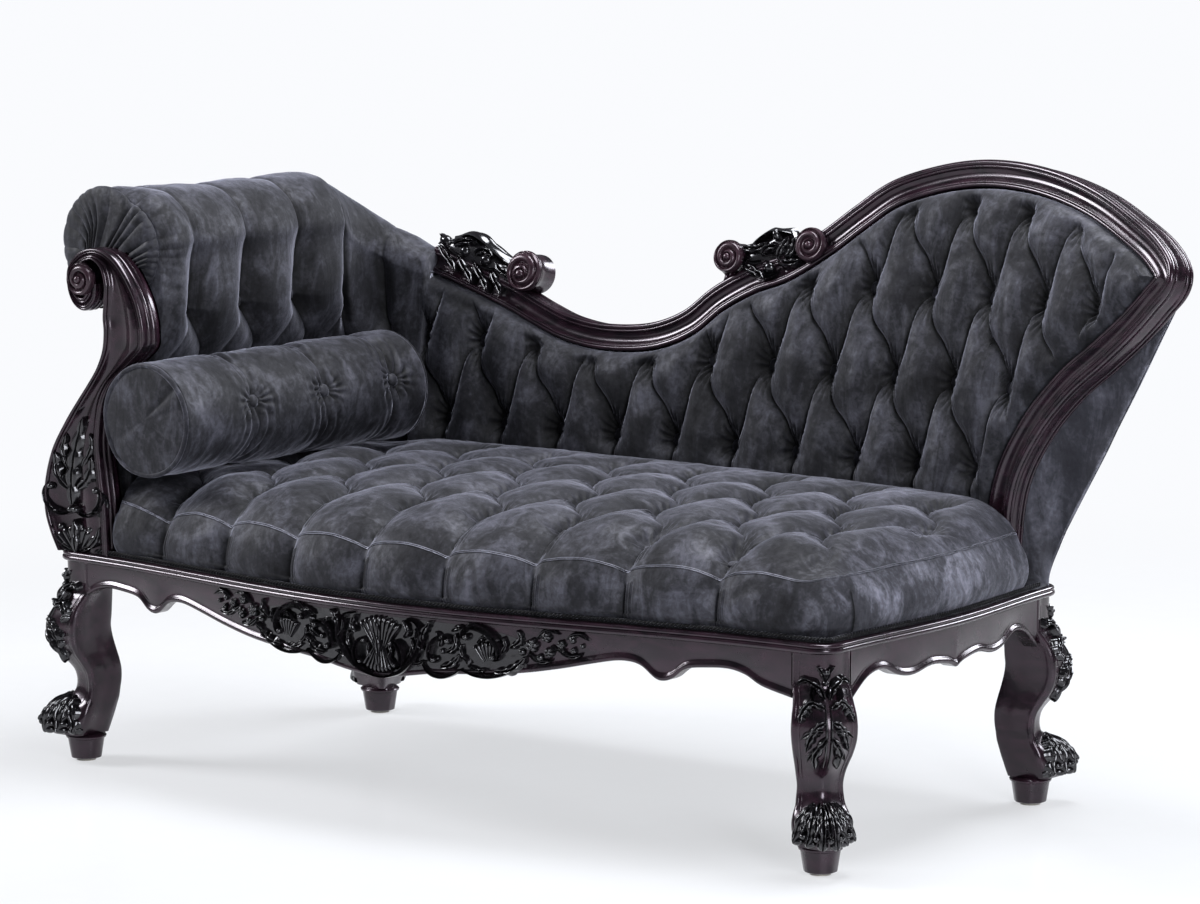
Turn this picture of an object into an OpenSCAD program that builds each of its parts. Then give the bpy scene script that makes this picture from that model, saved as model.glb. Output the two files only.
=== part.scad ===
// Fainting couch: serpentine carved seat frame on cabriole legs, one rolled arm with a scroll post,
// a low carved crest that sweeps up into a tall moulded head, tufted velvet all over, loose bolster.
// Frame: +X to the head end, -Y to the front, +Z up, millimetres, standing on z = 0.

/* [Seat frame] */
// Length over the seat rails
frame_len = 1496; // [1400:1:1600]
// Depth over the seat rails at the legs
frame_dep = 660; // [620:1:720]
// How far the front rail bows out
front_bow = 89; // [60:1:110]
// How far the bow's middle lies left of the frame's middle
bow_left = 30; // [0:1:80]
// How far the right rail bows out
side_bow = 20; // [5:1:30]
// Height of the rails' top edge above the floor
rail_top = 334; // [310:1:360]
// Thickness of the rails
rail_t = 26; // [20:1:32]
// Least height of a rail, at its arches
rail_h = 36; // [30:1:50]
// How much deeper the front apron is at its shell than at its arches
apron_drop = 66; // [40:1:80]
// Radius of the frame's corners in plan
corner_r = 30; // [20:1:45]
// Height of the moulding that caps the rails
mould_h = 16; // [12:1:20]
// How far the moulding stands out from the rails
mould_out = 9; // [6:1:12]

/* [Legs] */
// Side of the square leg block that the rails join
block_w = 62; // [56:1:68]
// How far a foot's middle lies in from the frame's corner, each way
foot_in = 27; // [22:1:32]
// How much further in, along the length, the rear left leg stands
rear_leg_in = 142; // [120:1:160]
// Height of the turned toe under each scroll foot
toe_h = 46; // [36:1:52]
// Toe radius at its top
toe_r = 32; // [28:1:35]
// Toe radius at its bottom
toe_low_r = 26; // [22:1:28]
// Radius of the glide under each toe
glide_r = 16; // [12:1:20]
// Thickness of the glide
glide_t = 4; // [3:0.5:6]

/* [Arm] */
// Radius of the padded roll on top of the arm
roll_r = 95; // [85:1:105]
// Height of the roll's axis above the floor
roll_z = 845; // [820:1:870]
// How far the roll's axis lies in from the frame's left end
roll_in = 93; // [78:1:108]
// Radius of the rail inside the roll
roll_rail_r = 38; // [30:1:42]
// Radius of the plan turn where the roll goes round into the back
turn_r = 120; // [110:1:130]
// Depth behind the frame's middle of the roll's axis where it runs along the back
shoulder_dep = 315; // [310:1:320]
// Height above the floor of that axis where it meets the crest
shoulder_z = 760; // [740:1:780]
// Radius of the roll where it meets the crest
shoulder_r = 42; // [36:1:46]
// Width of the scroll post on the arm's front
post_w = 218; // [200:1:230]
// Height of the scroll post
post_h = 500; // [480:1:520]
// Thickness of the scroll post
post_t = 45; // [36:1:50]
// How far the post's left edge stands out past the rails
post_out = 29; // [20:1:36]
// Radius of the scroll at the top of the post
scroll_r = 40; // [34:1:44]

/* [Back] */
// Height of the back's reference line, from which it starts to lean
lean_z = 500; // [480:1:520]
// Depth of the back's wood line behind the frame's middle, low down
back_dep = 300; // [294:1:303]
// How far back the head's top leans
head_lean = 106; // [80:1:120]
// How far forward the head's right end turns
head_turn = 171; // [140:1:190]
// Height of the head's top above the floor
head_top = 1004; // [980:1:1040]
// How far the head's right end reaches past the frame's right end
head_over = 289; // [262:1:312]
// Height of the crest's lowest part above the floor
crest_low = 705; // [690:1:720]
// Width of the moulded band round the head
band_w = 44; // [38:1:50]
// Thickness of the band and crest, front to back
band_t = 46; // [40:1:52]
// Where the crest starts, in from the frame's left end
crest_in = 263; // [248:1:278]
// Thickness of the outside covers
cover_t = 3; // [2:0.5:5]

/* [Upholstery] */
// Height of the seat's front edge above the floor
seat_edge_z = 484; // [470:1:500]
// How much the seat's middle crowns above its edge
seat_crown = 24; // [10:1:32]
// Distance between seat tufts along the length
seat_pitch = 152; // [140:1:165]
// Distance between rows of seat tufts
seat_row = 150; // [140:1:160]
// Depth of the seat tufts
seat_tuft = 26; // [12:1:32]
// Distance between back tufts along the length
back_pitch = 117; // [105:1:130]
// Distance between rows of back tufts
back_row = 134; // [125:1:145]
// Depth of the back tufts
back_tuft = 26; // [10:1:30]
// How far the back's stuffing stands in front of the wood
back_puff = 44; // [30:1:50]
// Distance between the arm's tufts
arm_pitch = 137; // [125:1:150]
// Depth of the arm's tufts
arm_tuft = 20; // [8:1:24]
// Radius of a covered button
button_r = 11; // [8:0.5:14]
// Thickness of a covered button
button_h = 8; // [6:0.5:10]

/* [Bolster] */
// Length of the bolster
bolster_len = 600; // [570:1:610]
// Radius of the bolster
bolster_r = 94; // [85:1:95]
// How far the bolster is turned in plan, in degrees
bolster_turn = 3; // [2:0.5:4]
// Depth of the bolster's tufts
bolster_tuft = 14; // [6:1:18]
// Radius of the piping round the bolster's ends
piping_r = 4; // [3:0.5:5]

/* [Inside] */
// Width of a webbing strap
strap_w = 50; // [40:1:60]
// Thickness of a webbing strap
strap_t = 1.5; // [1:0.5:3]
// Radius of a seat spring at its ends
spring_r = 40; // [30:1:45]
// Height of the spring cavity in the seat above the moulding
cavity_h = 48; // [40:1:60]
// Side of a batten
batten_w = 15; // [12:1:18]
// Thickness of the dust cover and of the hessian
sheet_t = 1; // [1:0.5:2]
// Radius of a screw's shank
screw_r = 2.5; // [2:0.25:4]
// Width of a stile in the back frame
stile_w = 36; // [30:1:42]
// Thickness of a stile in the back frame
stile_t = 16; // [12:1:20]

/* [Hidden] */
// Gap left between a soft piece and what it lies against
soft_gap = 0.4;
// Gap left between two glued or screwed wooden pieces
wood_gap = 0.3;

hl = frame_len / 2;
hd = frame_dep / 2;
cap_z = rail_top + mould_h;
roll_x = hl - roll_in;
crest_left = hl - crest_in;
head_reach = hl + head_over;

// Helpers
function lerp(a, b, t) = a + (b - a) * t;
function unit(v) = v / norm(v);
function clamp01(t) = min(1, max(0, t));
function ease(t) = let (c = clamp01(t)) c * c * (3 - 2 * c);
function bell(u) = 0.5 + 0.5 * cos(180 * min(1, abs(u)));
function spline_at(a, b, c, d, t) = 0.5 * (2 * b + (c - a) * t + (2 * a - 5 * b + 4 * c - d) * t * t
    + (3 * b - a - 3 * c + d) * t * t * t);
// A smooth path through the points, with k steps between each two
function smooth_path(p, k) = [for (i = [0 : len(p) - 2]) for (j = [0 : k - 1])
    spline_at(p[max(i - 1, 0)], p[i], p[i + 1], p[min(i + 2, len(p) - 1)], j / k), p[len(p) - 1]];
function at(path, s) = let (n = len(path) - 1, q = clamp01(s) * n, i = min(n - 1, floor(q)))
    lerp(path[i], path[i + 1], q - i);
// Distance walked along a path up to each of its points, and the same as a share of the whole
function walked(path) = [for (i = 0, s = 0; i < len(path);
    s = s + (i + 1 < len(path) ? norm(path[i + 1] - path[i]) : 0), i = i + 1) s];
function step_at(w, s) = let (below = [for (i = [0 : len(w) - 2]) if (w[i] <= s * w[len(w) - 1]) i])
    below[len(below) - 1];
// The point at share s of a path's length
function along(path, w, s) = let (i = step_at(w, s), d = s * w[len(w) - 1] - w[i])
    lerp(path[i], path[i + 1], clamp01(d / (w[i + 1] - w[i])));

// A solid swept through rings of points; each ring runs anticlockwise seen from the far end
module skin(rings, cap = [], loop = false) {
    n = len(rings[0]);
    m = len(rings);
    q = loop ? m - 1 : m - 2;
    first = len(cap) > 0 ? cap : [for (j = [1 : n - 2]) [0, j, j + 1]];
    last = [for (f = first) [for (k = [len(f) - 1 : -1 : 0]) f[k] + (m - 1) * n]];
    side = [for (i = [0 : q]) for (j = [0 : n - 1])
        let (a = i * n + j, b = ((i + 1) % m) * n + j, c = ((i + 1) % m) * n + (j + 1) % n, d = i * n
            + (j + 1) % n)
        for (f = [[a, b, c], [a, c, d]]) f];
    polyhedron([for (r = rings) for (p = r) p], loop ? side : concat(side, first, last), convexity = 8);
}

// A closed slab between two grids of points, near[i][j] in front of far[i][j]
module slab(near, far) {
    m = len(near) - 1;
    n = len(near[0]) - 1;
    k = (m + 1) * (n + 1);
    function id(i, j) = i * (n + 1) + j;
    cells = [for (i = [0 : m - 1]) for (j = [0 : n - 1]) [id(i, j), id(i, j + 1), id(i + 1, j + 1),
        id(i + 1, j)]];
    rim = concat([for (i = [0 : m - 1]) id(i, 0)], [for (j = [0 : n - 1]) id(m, j)],
        [for (i = [m : -1 : 1]) id(i, n)], [for (j = [n : -1 : 1]) id(0, j)]);
    faces = concat([for (c = cells) for (f = [[c[0], c[1], c[2]], [c[0], c[2], c[3]]]) f],
        [for (c = cells) for (f = [[c[2], c[1], c[0]], [c[3], c[2], c[0]]]) [for (v = f) v + k]],
        [for (i = [0 : len(rim) - 1]) let (a = rim[i], b = rim[(i + 1) % len(rim)])
            for (f = [[a, b, b + k], [a, b + k, a + k]]) f]);
    polyhedron(concat([for (r = near) for (p = r) p], [for (r = far) for (p = r) p]), faces, convexity = 8);
}

// Plan of the seat frame
turn_x = -(roll_x - turn_r);
turn_y = shoulder_dep - turn_r;
turn_a = hl + turn_x;
turn_b = hd - turn_y;
function front_y(x) = -hd - front_bow * bell((x + bow_left) / hl);
function side_x(y) = hl + side_bow * bell(y / hd);
front_n = 32;
side_n = 8;
rear_n = 10;
arc_n = 4;
turn_n = 8;
front_line = [for (i = [0 : front_n]) let (x = lerp(-hl + corner_r, hl - corner_r, i / front_n))
    [x, front_y(x)]];
front_arc = [for (i = [1 : arc_n - 1]) let (a = -90 + 90 * i / arc_n)
    [hl - corner_r + corner_r * cos(a), -hd + corner_r + corner_r * sin(a)]];
side_line = [for (i = [0 : side_n]) let (y = lerp(-hd + corner_r, hd - corner_r, i / side_n))
    [side_x(y), y]];
rear_arc = [for (i = [1 : arc_n - 1]) let (a = 90 * i / arc_n)
    [hl - corner_r + corner_r * cos(a), hd - corner_r + corner_r * sin(a)]];
rear_line = [for (i = [0 : rear_n]) [lerp(hl - corner_r, turn_x, i / rear_n), hd]];
turn_arc = [for (i = [1 : turn_n - 1]) let (a = 90 + 90 * i / turn_n) [turn_x + turn_a * cos(a),
    turn_y + turn_b * sin(a)]];
left_line = [[-hl, turn_y], [-hl, -hd + corner_r]];
left_arc = [for (i = [1 : arc_n - 1]) let (a = 180 + 90 * i / arc_n)
    [-hl + corner_r + corner_r * cos(a), -hd + corner_r + corner_r * sin(a)]];
plan = concat(front_line, front_arc, side_line, rear_arc, rear_line, turn_arc, left_line, left_arc);
plan_n = len(plan);
plan_out = [for (i = [0 : plan_n - 1]) let (t = unit(plan[(i + 1) % plan_n] - plan[(i + plan_n - 1)
    % plan_n])) [t[1], -t[0]]];
function plan_at(i, off) = plan[i % plan_n] + off * plan_out[i % plan_n];

// The rails' lower edge: share of the half length against share of the drop below the arches
apron_shares = [[0, 1], [0.08, 0.90], [0.16, 0.76], [0.27, 0.66], [0.37, 0.54], [0.46, 0.36], [0.54, 0.16],
    [0.60, 0.04], [0.645, 0.10], [0.68, 0.38], [0.70, 0.42], [0.72, 0.34], [0.75, 0.10], [0.80, 0.02],
    [0.85, 0], [0.89, 0.10], [0.93, 0.32], [1, 0.5]];
side_apron_shares = [[0, 0.42], [0.08, 0.30], [0.25, 0.22], [0.42, 0.34], [0.55, 0.28], [0.7, 0.05],
    [0.85, 0.16],
    [1, 0.6]];
function look(t, u) = u <= t[0][0] ? t[0][1] : u >= t[len(t) - 1][0] ? t[len(t) - 1][1]
    : [for (i = [0 : len(t) - 2]) if (u >= t[i][0] && u < t[i + 1][0])
        lerp(t[i][1], t[i + 1][1], (u - t[i][0]) / (t[i + 1][0] - t[i][0]))][0];
function apron_z(x) = rail_top - rail_h - apron_drop * look(apron_shares, abs(x + bow_left) / (hl
    + bow_left - block_w));
function side_apron_z(y) = rail_top - rail_h - apron_drop * look(side_apron_shares, abs(y) / (hd - block_w));
// Height of the plain rails at the rear and at the arm, which pass over the rear left knee
rear_rail_h = 46;
rear_leg_x = -hl + foot_in + rear_leg_in;
rear_leg_y = hd - foot_in - foot_in / 7;

// A rail as a grid of four corners per station: outer face, inner face, top and scalloped lower edge
function rail_ring(p, out, low) = let (q = p - rail_t * out)
    [[q[0], q[1], low], [p[0], p[1], low], [p[0], p[1], rail_top - wood_gap], [q[0], q[1], rail_top
        - wood_gap]];
front_rail_n = 56;
module front_rail() {
    color("#2a1a20") translate(origin) skin([for (i = [front_rail_n : -1 : 0])
        let (e = hl - block_w - wood_gap, x = lerp(-e, e, i / front_rail_n)) rail_ring([x, front_y(x)],
            [0, -1], apron_z(x))]);
}
side_rail_n = 24;
module right_rail() {
    color("#2a1a20") translate(origin) skin([for (i = [side_rail_n : -1 : 0])
        let (e = hd - block_w - wood_gap, y = lerp(-e, e, i / side_rail_n)) rail_ring([side_x(y), y],
            [1, 0], side_apron_z(y))]);
}
module rail_bar(x0, x1, y0, y1, low) {
    translate([x0, y0, low]) cube([x1 - x0, y1 - y0, rail_top - wood_gap - low]);
}
module rear_rail() {
    color("#2a1a20") translate(origin) rail_bar(rear_leg_x + block_w - foot_in + wood_gap, hl - block_w
        - wood_gap, hd - rail_t, hd, rail_top - rear_rail_h);
}
// One bent rail: up the left side and round the rear left corner to the set-in leg
module left_rail() {
    turned = [for (i = [0 : turn_n * 2]) let (a = 180 - 90 * i / (turn_n * 2)) [cos(a), sin(a)]];
    stop = rear_leg_x - foot_in - wood_gap;
    outer = [for (c = turned) [turn_x + turn_a * c[0], turn_y + turn_b * c[1]]];
    inner = [for (c = turned) [turn_x + (turn_a - rail_t) * c[0], turn_y + (turn_b - rail_t) * c[1]]];
    color("#2a1a20") translate(origin) translate([0, 0, rail_top - rear_rail_h])
        linear_extrude(rear_rail_h - wood_gap) intersection() {
        polygon(concat([[-hl, -hd + block_w + wood_gap]], outer, [for (i = [len(inner) - 1 : -1 : 0])
            inner[i]],
            [[-hl + rail_t, -hd + block_w + wood_gap]]));
        translate([-hl - rail_t, -hd]) square([stop + hl + rail_t, 2 * hd]);
    }
}

// Moulding that caps the rails all round: shares of its overhang and of its height
mould_shares = [[1, 0.15], [1, 0.45], [0.6, 0.55], [0.85, 0.8], [0.4, 1]];
function mould_ring(i) = concat([for (m = [[-rail_t, mould_h], [-rail_t, 0]]) let (p = plan_at(i, m[0]))
    [p[0], p[1], rail_top + m[1]]],
    [for (m = mould_shares) let (p = plan_at(i, mould_out * m[0])) [p[0], p[1], rail_top + mould_h * m[1]]]);
module seat_moulding() {
    color("#241419") translate(origin) skin([for (i = [0 : plan_n - 1]) let (r = mould_ring(i))
        [for (j = [len(r) - 1 : -1 : 0]) r[j]]], loop = true);
}

// Cabriole leg: height, outer reach, inner reach, half width and ridge place, as shares
leg_shares = [[0, 0.81, -0.65, 0.61, 0.24], [0.035, 0.94, -0.71, 0.68, 0.19], [0.073, 1.02, -0.77, 0.73,
    0.13],
    [0.118, 0.97, -0.84, 0.73, 0.06], [0.163, 0.76, -0.90, 0.68, 0], [0.201, 0.44, -0.95, 0.61, -0.08],
    [0.247, 0.24, -0.98, 0.58, -0.13], [0.306, 0.19, -1.02, 0.56, -0.13], [0.368, 0.26, -1.02, 0.60, -0.08],
    [0.427, 0.48, -0.97, 0.66, 0.06], [0.483, 0.69, -0.90, 0.73, 0.21], [0.549, 0.85, -0.82, 0.79, 0.31],
    [0.615, 0.90, -0.77, 0.81, 0.32], [0.677, 0.84, -0.79, 0.79, 0.29], [0.740, 0.68, -0.80, 0.74, 0.19],
    [0.795, 0.53, -0.80, 0.71, 0.03], [0.847, 0.39, -0.80, 0.70, -0.09], [1, 0.39, -0.80, 0.70, -0.09]];
// Places round a section: share from ridge to outer or inner reach, and share of the half width
leg_outer_shares = [[1, -0.22], [1, 0.22], [0.42, 0.72], [0, 1]];
leg_inner_shares = [[0.45, 0.55], [0.88, 0.12], [0.88, -0.12], [0.45, -0.55]];
leg_h = rail_top - wood_gap - toe_h;
feet = [[-hl + foot_in, -hd + foot_in], [hl - foot_in, -hd + foot_in], [hl - foot_in, hd - foot_in],
    [rear_leg_x, rear_leg_y]];
foot_turn = [[-1, -1], [1, -1], [1, 1], [-1, 1]];
function leg_pt(k, z, a, b) = let (o = foot_turn[k] / norm(foot_turn[k]))
    [feet[k][0] + o[0] * a - o[1] * b, feet[k][1] + o[1] * a + o[0] * b, z];
function leg_place(k, row, q, outer) = let (a = lerp(row[4], outer ? row[1] : row[2], q[0]))
    leg_pt(k, toe_h + row[0] * leg_h, block_w * a, block_w * row[3] * q[1]);
function leg_ring(k, row) = concat([for (q = leg_outer_shares) leg_place(k, row, q, true)],
    [for (q = leg_inner_shares) leg_place(k, row, q, false)],
    [for (q = [[0, -1], [0.42, -0.72]]) leg_place(k, row, q, true)]);
module leg(k) {
    color("#2a1a20") translate(origin) skin([for (row = leg_shares) leg_ring(k, row)]);
}
module leg_front_left() { leg(0); }
module leg_front_right() { leg(1); }
module leg_rear_right() { leg(2); }
module leg_rear_left() { leg(3); }
module leg_toes() {
    color("#2a1a20") translate(origin) for (k = [0 : 3]) translate([feet[k][0], feet[k][1], glide_t])
        cylinder(toe_h - wood_gap - glide_t, toe_low_r, toe_r, $fn = 48);
}
module glides() {
    color("#b9b4a8") translate(origin) for (k = [0 : 3]) translate([feet[k][0], feet[k][1], 0])
        cylinder(glide_t, r = glide_r, $fn = 36);
}
// Leaf relief laid on a leg's outer faces between two of its sections
// Height of the leaf relief on the legs
relief_t = 7;
leaf_across_shares = [-0.6, -0.22, 0, 0.22, 0.6];
function leaf_far(k, row, b) = let (a = abs(b) <= 0.22 ? 1 : lerp(1, 0.42, (abs(b) - 0.22) / 0.5))
    leg_place(k, row, [a, b], true) + wood_gap * unit([foot_turn[k][0], foot_turn[k][1], 0]);
function leaf_rows_far(k, rows) = [for (row = rows) [for (j = [4 : -1 : 0]) leaf_far(k, row,
    leaf_across_shares[j])]];
function leaf_rows_near(k, rows, rise) = let (far = leaf_rows_far(k, rows),
    o = unit([foot_turn[k][0], foot_turn[k][1], 0]))
    [for (i = [0 : len(rows) - 1]) [for (j = [0 : 4]) far[i][j]
        + o * relief_t * (0.2 + rise[i] * (1 - abs(leaf_across_shares[j])) * (j == 2 ? 0.7 : 1))]];
module leg_leaf(k, rows, rise) {
    slab(leaf_rows_near(k, rows, rise), leaf_rows_far(k, rows));
}
knee_rise_shares = [0.2, 0.6, 1, 1.1, 1, 0.8, 0.3];
foot_rise_shares = [0.3, 0.9, 1, 0.8, 0.3];
foot_rows = [for (i = [0 : 4]) leg_shares[i]];
module knee_carvings() {
    color("#17110f") translate(origin) for (k = [0 : 3]) leg_leaf(k, [for (i = [9 : 15]) leg_shares[i]],
        knee_rise_shares);
}
module foot_carvings() {
    color("#17110f") translate(origin) for (k = [0 : 3]) leg_leaf(k, foot_rows, foot_rise_shares);
}

// Carved shell and scrolls on the front apron: half length, top and bottom edges as shares
carving_l = 330;
carving_t = 11;
carving_n = 30;
carving_rows = 6;
carving_top_shares = [[0, 0.98], [0.25, 0.92], [0.5, 0.88], [0.8, 0.8], [1, 0.66]];
carving_low_shares = [[0, 0.02], [0.2, 0.1], [0.45, 0.16], [0.7, 0.3], [0.9, 0.42], [1, 0.5]];
function carving_pt(u, v, off) = let (x = u * carving_l - bow_left, low = apron_z(x),
    t = look(carving_top_shares, abs(u)),
    b = look(carving_low_shares, abs(u))) [x, front_y(x) - off, lerp(low, rail_top - wood_gap,
        lerp(b, t, v))];
function carving_rise(u, v) = 0.25 + 0.35 * sin(180 * v) * (1 - 0.5 * abs(u)) + 0.3 * pow(sin(180 * v),
    2) * abs(cos(900 * u));
module apron_carving() {
    near = [for (i = [0 : carving_n]) let (u = 2 * i / carving_n - 1) [for (j = [0 : carving_rows])
        carving_pt(u, j / carving_rows, wood_gap + carving_t * carving_rise(u, j / carving_rows))]];
    far = [for (i = [0 : carving_n]) let (u = 2 * i / carving_n - 1) [for (j = [0 : carving_rows])
        carving_pt(u, j / carving_rows, wood_gap)]];
    color("#17110f") translate(origin) slab(near, far);
}

// Scroll post: outline in shares of its width and height, anticlockwise from the bottom left
post_shares = [[0.12, 0], [0, 0.13], [0.005, 0.22], [0.08, 0.33], [0.22, 0.43], [0.34, 0.50], [0.50, 0.60],
    [0.575, 0.70], [0.57, 0.77], [0.47, 0.80], [0.34, 0.80], [0.26, 0.86], [0.26, 0.93], [0.36, 0.98],
        [0.51, 1],
    [0.68, 0.985], [0.82, 0.93], [0.92, 0.85], [0.97, 0.765], [0.975, 0.695], [0.86, 0.645],
        [0.735, 0.60], [0.635, 0.53], [0.59, 0.47], [0.55, 0.40],
    [0.56, 0.30], [0.60, 0.18], [0.62, 0]];
post_left = -hl - post_out;
post_y = -hd - post_out * 0.2;
scroll_at = [0.41, 0.9];
function post_pt(s) = [post_left + post_w * s[0], cap_z + post_h * s[1]];
// The post's inner edge stays clear of the bolster beside it
function post_limit(p) = let (d = abs(p[1] - bolster_axis_z), r = bolster_r + bolster_room,
    c = bolster_pt(0, -bolster_len / 2, 0)[0])
    d < r ? [min(p[0], c - sqrt(r * r - d * d)), p[1]] : p;
module arm_front_post() {
    outline = [for (i = [len(post_shares) - 1 : -1 : 0]) post_pt(post_shares[i])];
    color("#2a1a20") translate(origin) translate([0, post_y + post_t, 0]) rotate([90, 0, 0])
        linear_extrude(post_t)
        polygon([for (p = smooth_path(outline, 3)) post_limit(p)]);
}
// How far the scroll stands out from the post
scroll_out = 12;
module arm_scroll() {
    c = post_pt(scroll_at);
    color("#241419") translate(origin) translate([c[0], post_y - wood_gap, c[1]]) rotate([90, 0, 0]) {
        difference() {
            cylinder(scroll_out * 0.6, r = scroll_r * 0.9, $fn = 48);
            translate([0, 0, scroll_out * 0.3]) cylinder(scroll_out, r = scroll_r * 0.7, $fn = 48);
        }
        cylinder(scroll_out, r = scroll_r * 0.45, $fn = 36);
    }
}
post_leaf_n = 10;
post_leaf_m = 8;
post_leaf_shares = [[0, 0.10, 0.55], [0.3, 0.06, 0.56], [0.6, 0.13, 0.55], [0.8, 0.26, 0.54],
    [1, 0.40, 0.50]];
function post_leaf_edge(v, k) = let (t = [for (r = post_leaf_shares) [r[0], r[k]]]) look(t, v);
module arm_post_carving() {
    function leaf_pt(u, v, off) = let (s = [lerp(post_leaf_edge(v, 1), post_leaf_edge(v, 2), u),
        lerp(0.03, 0.42, v)], p = post_pt(s))
        [p[0], post_y - wood_gap - off, p[1]];
    function leaf_rise(u, v) = 0.2 + 0.8 * sin(180 * u) * sin(90 + 80 * v)
        * (0.6 + 0.4 * abs(cos(360 * u + 180 * v)));
    color("#17110f") translate(origin) slab([for (i = [0 : post_leaf_m]) [for (j = [0 : post_leaf_n])
            leaf_pt(i / post_leaf_m, j / post_leaf_n, carving_t * leaf_rise(i / post_leaf_m,
                j / post_leaf_n))]],
        [for (i = [0 : post_leaf_m]) [for (j = [0 : post_leaf_n]) leaf_pt(i / post_leaf_m,
            j / post_leaf_n, 0)]]);
}

// Back: the wood's middle surface, leaning back as it rises and turning forward at the head's right end
turn_from_share = 0.434;
lean_n = 1.4;
function back_y(x, z) = back_dep + head_lean * pow(max(0, z - lean_z) / (head_top - lean_z), lean_n)
    - head_turn * pow(max(0, x - turn_from_share * head_reach) / (head_reach * (1 - turn_from_share)), 2);
probe = head_reach / 1000;
function back_out(x, z) = unit([(back_y(x + probe, z) - back_y(x - probe, z)) / (2 * probe), -1,
    (back_y(x, z + probe) - back_y(x, z - probe)) / (2 * probe)]);
// Middle line of crest and band: share of the head's reach, share of the rise from the crest to the
// head's top
crest_shares = [[-0.41, 0.285], [-0.345, 0.218], [-0.29, 0.155], [-0.238, 0.085], [-0.18, 0.022],
    [-0.106, -0.007], [-0.019, 0.017], [0.048, 0.104], [0.101, 0.247], [0.159, 0.358], [0.222, 0.441]];
head_shares = [[0.289, 0.585], [0.345, 0.732], [0.400, 0.863], [0.469, 0.946], [0.542, 0.993],
    [0.619, 1], [0.702, 0.970], [0.791, 0.900], [0.873, 0.799], [0.940, 0.700], [0.975, 0.590],
    [0.943, 0.458], [0.897, 0.308], [0.843, 0.157], [0.787, 0.010], [0.739, -0.157],
    [0.703, -0.328], [0.678, -0.495], [0.663, -0.679], [0.656, -0.880]];
// Height share of the wood's left end, and reach share of its foot on the seat frame
crest_end_share = 0.34;
band_foot_share = 0.653;
wood_low = crest_low - band_w / 2;
wood_high = head_top - band_w / 2;
wood_rise = wood_high - wood_low;
wood_knots = concat([[-crest_left + 4 * soft_gap, wood_low + crest_end_share * wood_rise]],
    [for (s = concat(crest_shares, head_shares)) [s[0] * head_reach, wood_low + s[1] * wood_rise]],
    [[band_foot_share * head_reach, cap_z + wood_gap]]);
wood_k = 2;
wood_flat = smooth_path(wood_knots, wood_k);
wood_line = [for (p = wood_flat) [p[0], back_y(p[0], p[1]), p[1]]];
wood_n = len(wood_line);
crest_n = len(crest_shares) * wood_k;
// The left end is cut plumb, so that it clears the arm's pad and its bent rail
wood_dir = [for (i = [0 : wood_n - 1]) i == 0 ? [1, 0, 0]
    : unit(wood_line[min(i + 1, wood_n - 1)] - wood_line[i - 1])];
wood_out = [for (p = wood_line) back_out(p[0], p[2])];
wood_up = [for (i = [0 : wood_n - 1]) unit(cross(wood_out[i], wood_dir[i]))];
function wood_pt(i, a, b) = wood_line[i] + a * wood_up[i] + b * wood_out[i];
// Moulded section: shares of the band's width and of its thickness
band_shares = [[-0.5, -0.57], [0.5, -0.57], [0.5, 0.17], [0.41, 0.39], [0.23, 0.35], [0, 0.22],
    [-0.25, 0.30], [-0.39, 0.43], [-0.5, 0.26]];
function wood_ring(i) = [for (s = band_shares) wood_pt(i, s[0] * band_w, s[1] * band_t)];
module crest_rail() { color("#241419") translate(origin) skin([for (i = [0 : crest_n]) wood_ring(i)]); }
module head_band() {
    color("#241419") translate(origin) skin([for (i = [crest_n : wood_n - 1]) wood_ring(i)]);
}

// Scroll ends of the crest and the carved leaves between and beside them
volute_r = band_w * 0.64;
// Of each scroll: its place as a share of the crest's run, its centre's rise over the wood's middle
// as a share of the band's width, and its back face as a share of the band's thickness
volutes = [[0.269, 0.93, -0.41], [0.879, 1.07, -0.41], [1.063, 0.2, 0.16]];
volute_front = 0.5;
eye_r = volute_r * 0.45;
eye_out = volute_r * 0.25;
function volute_q(k) = volutes[k][0] * crest_n;
function wood_at(q, a, b) = let (i = min(floor(q), wood_n - 2))
    lerp(wood_pt(i, a, b), wood_pt(i + 1, a, b), q - i);
module crest_volutes() {
    color("#2a1a20") translate(origin) for (k = [0 : len(volutes) - 1])
        let (q = volute_q(k), long = (volute_front - volutes[k][2]) * band_t, d = wood_out[round(q)])
            translate(wood_at(q, volutes[k][1] * band_w, volutes[k][2] * band_t))
                rotate([0, acos(d[2]), atan2(d[1], d[0])]) {
                    cylinder(long, r = volute_r, $fn = 40);
                    translate([0, 0, long]) cylinder(eye_out, r = eye_r, $fn = 32);
                }
}
leaf_rows = 3;
leaf_n = 10;
// A leafy tuft of carving on the wood's upper edge, between two places along it
module wood_leaf(from, to, tall, thick) {
    function top(u) = tall * (0.3 + 0.7 * pow(abs(sin(180 * u)), 0.6)) * (0.82 + 0.18 * cos(1080 * u));
    function pt(u, v, side) = wood_at(lerp(from, to, u), band_w / 2 + wood_gap + v * top(u),
        side * thick * (0.5 - 0.22 * v) * (1 - 0.12 * cos(720 * u)));
    color("#17110f") translate(origin) slab([for (i = [0 : leaf_n]) [for (j = [0 : leaf_rows])
        pt(i / leaf_n, j / leaf_rows, 1)]],
        [for (i = [0 : leaf_n]) [for (j = [0 : leaf_rows]) pt(i / leaf_n, j / leaf_rows, -1)]]);
}
// Gap between a volute's side and the leaves beside it, as a share of a step along the wood
volute_room_share = 0.9;
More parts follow.
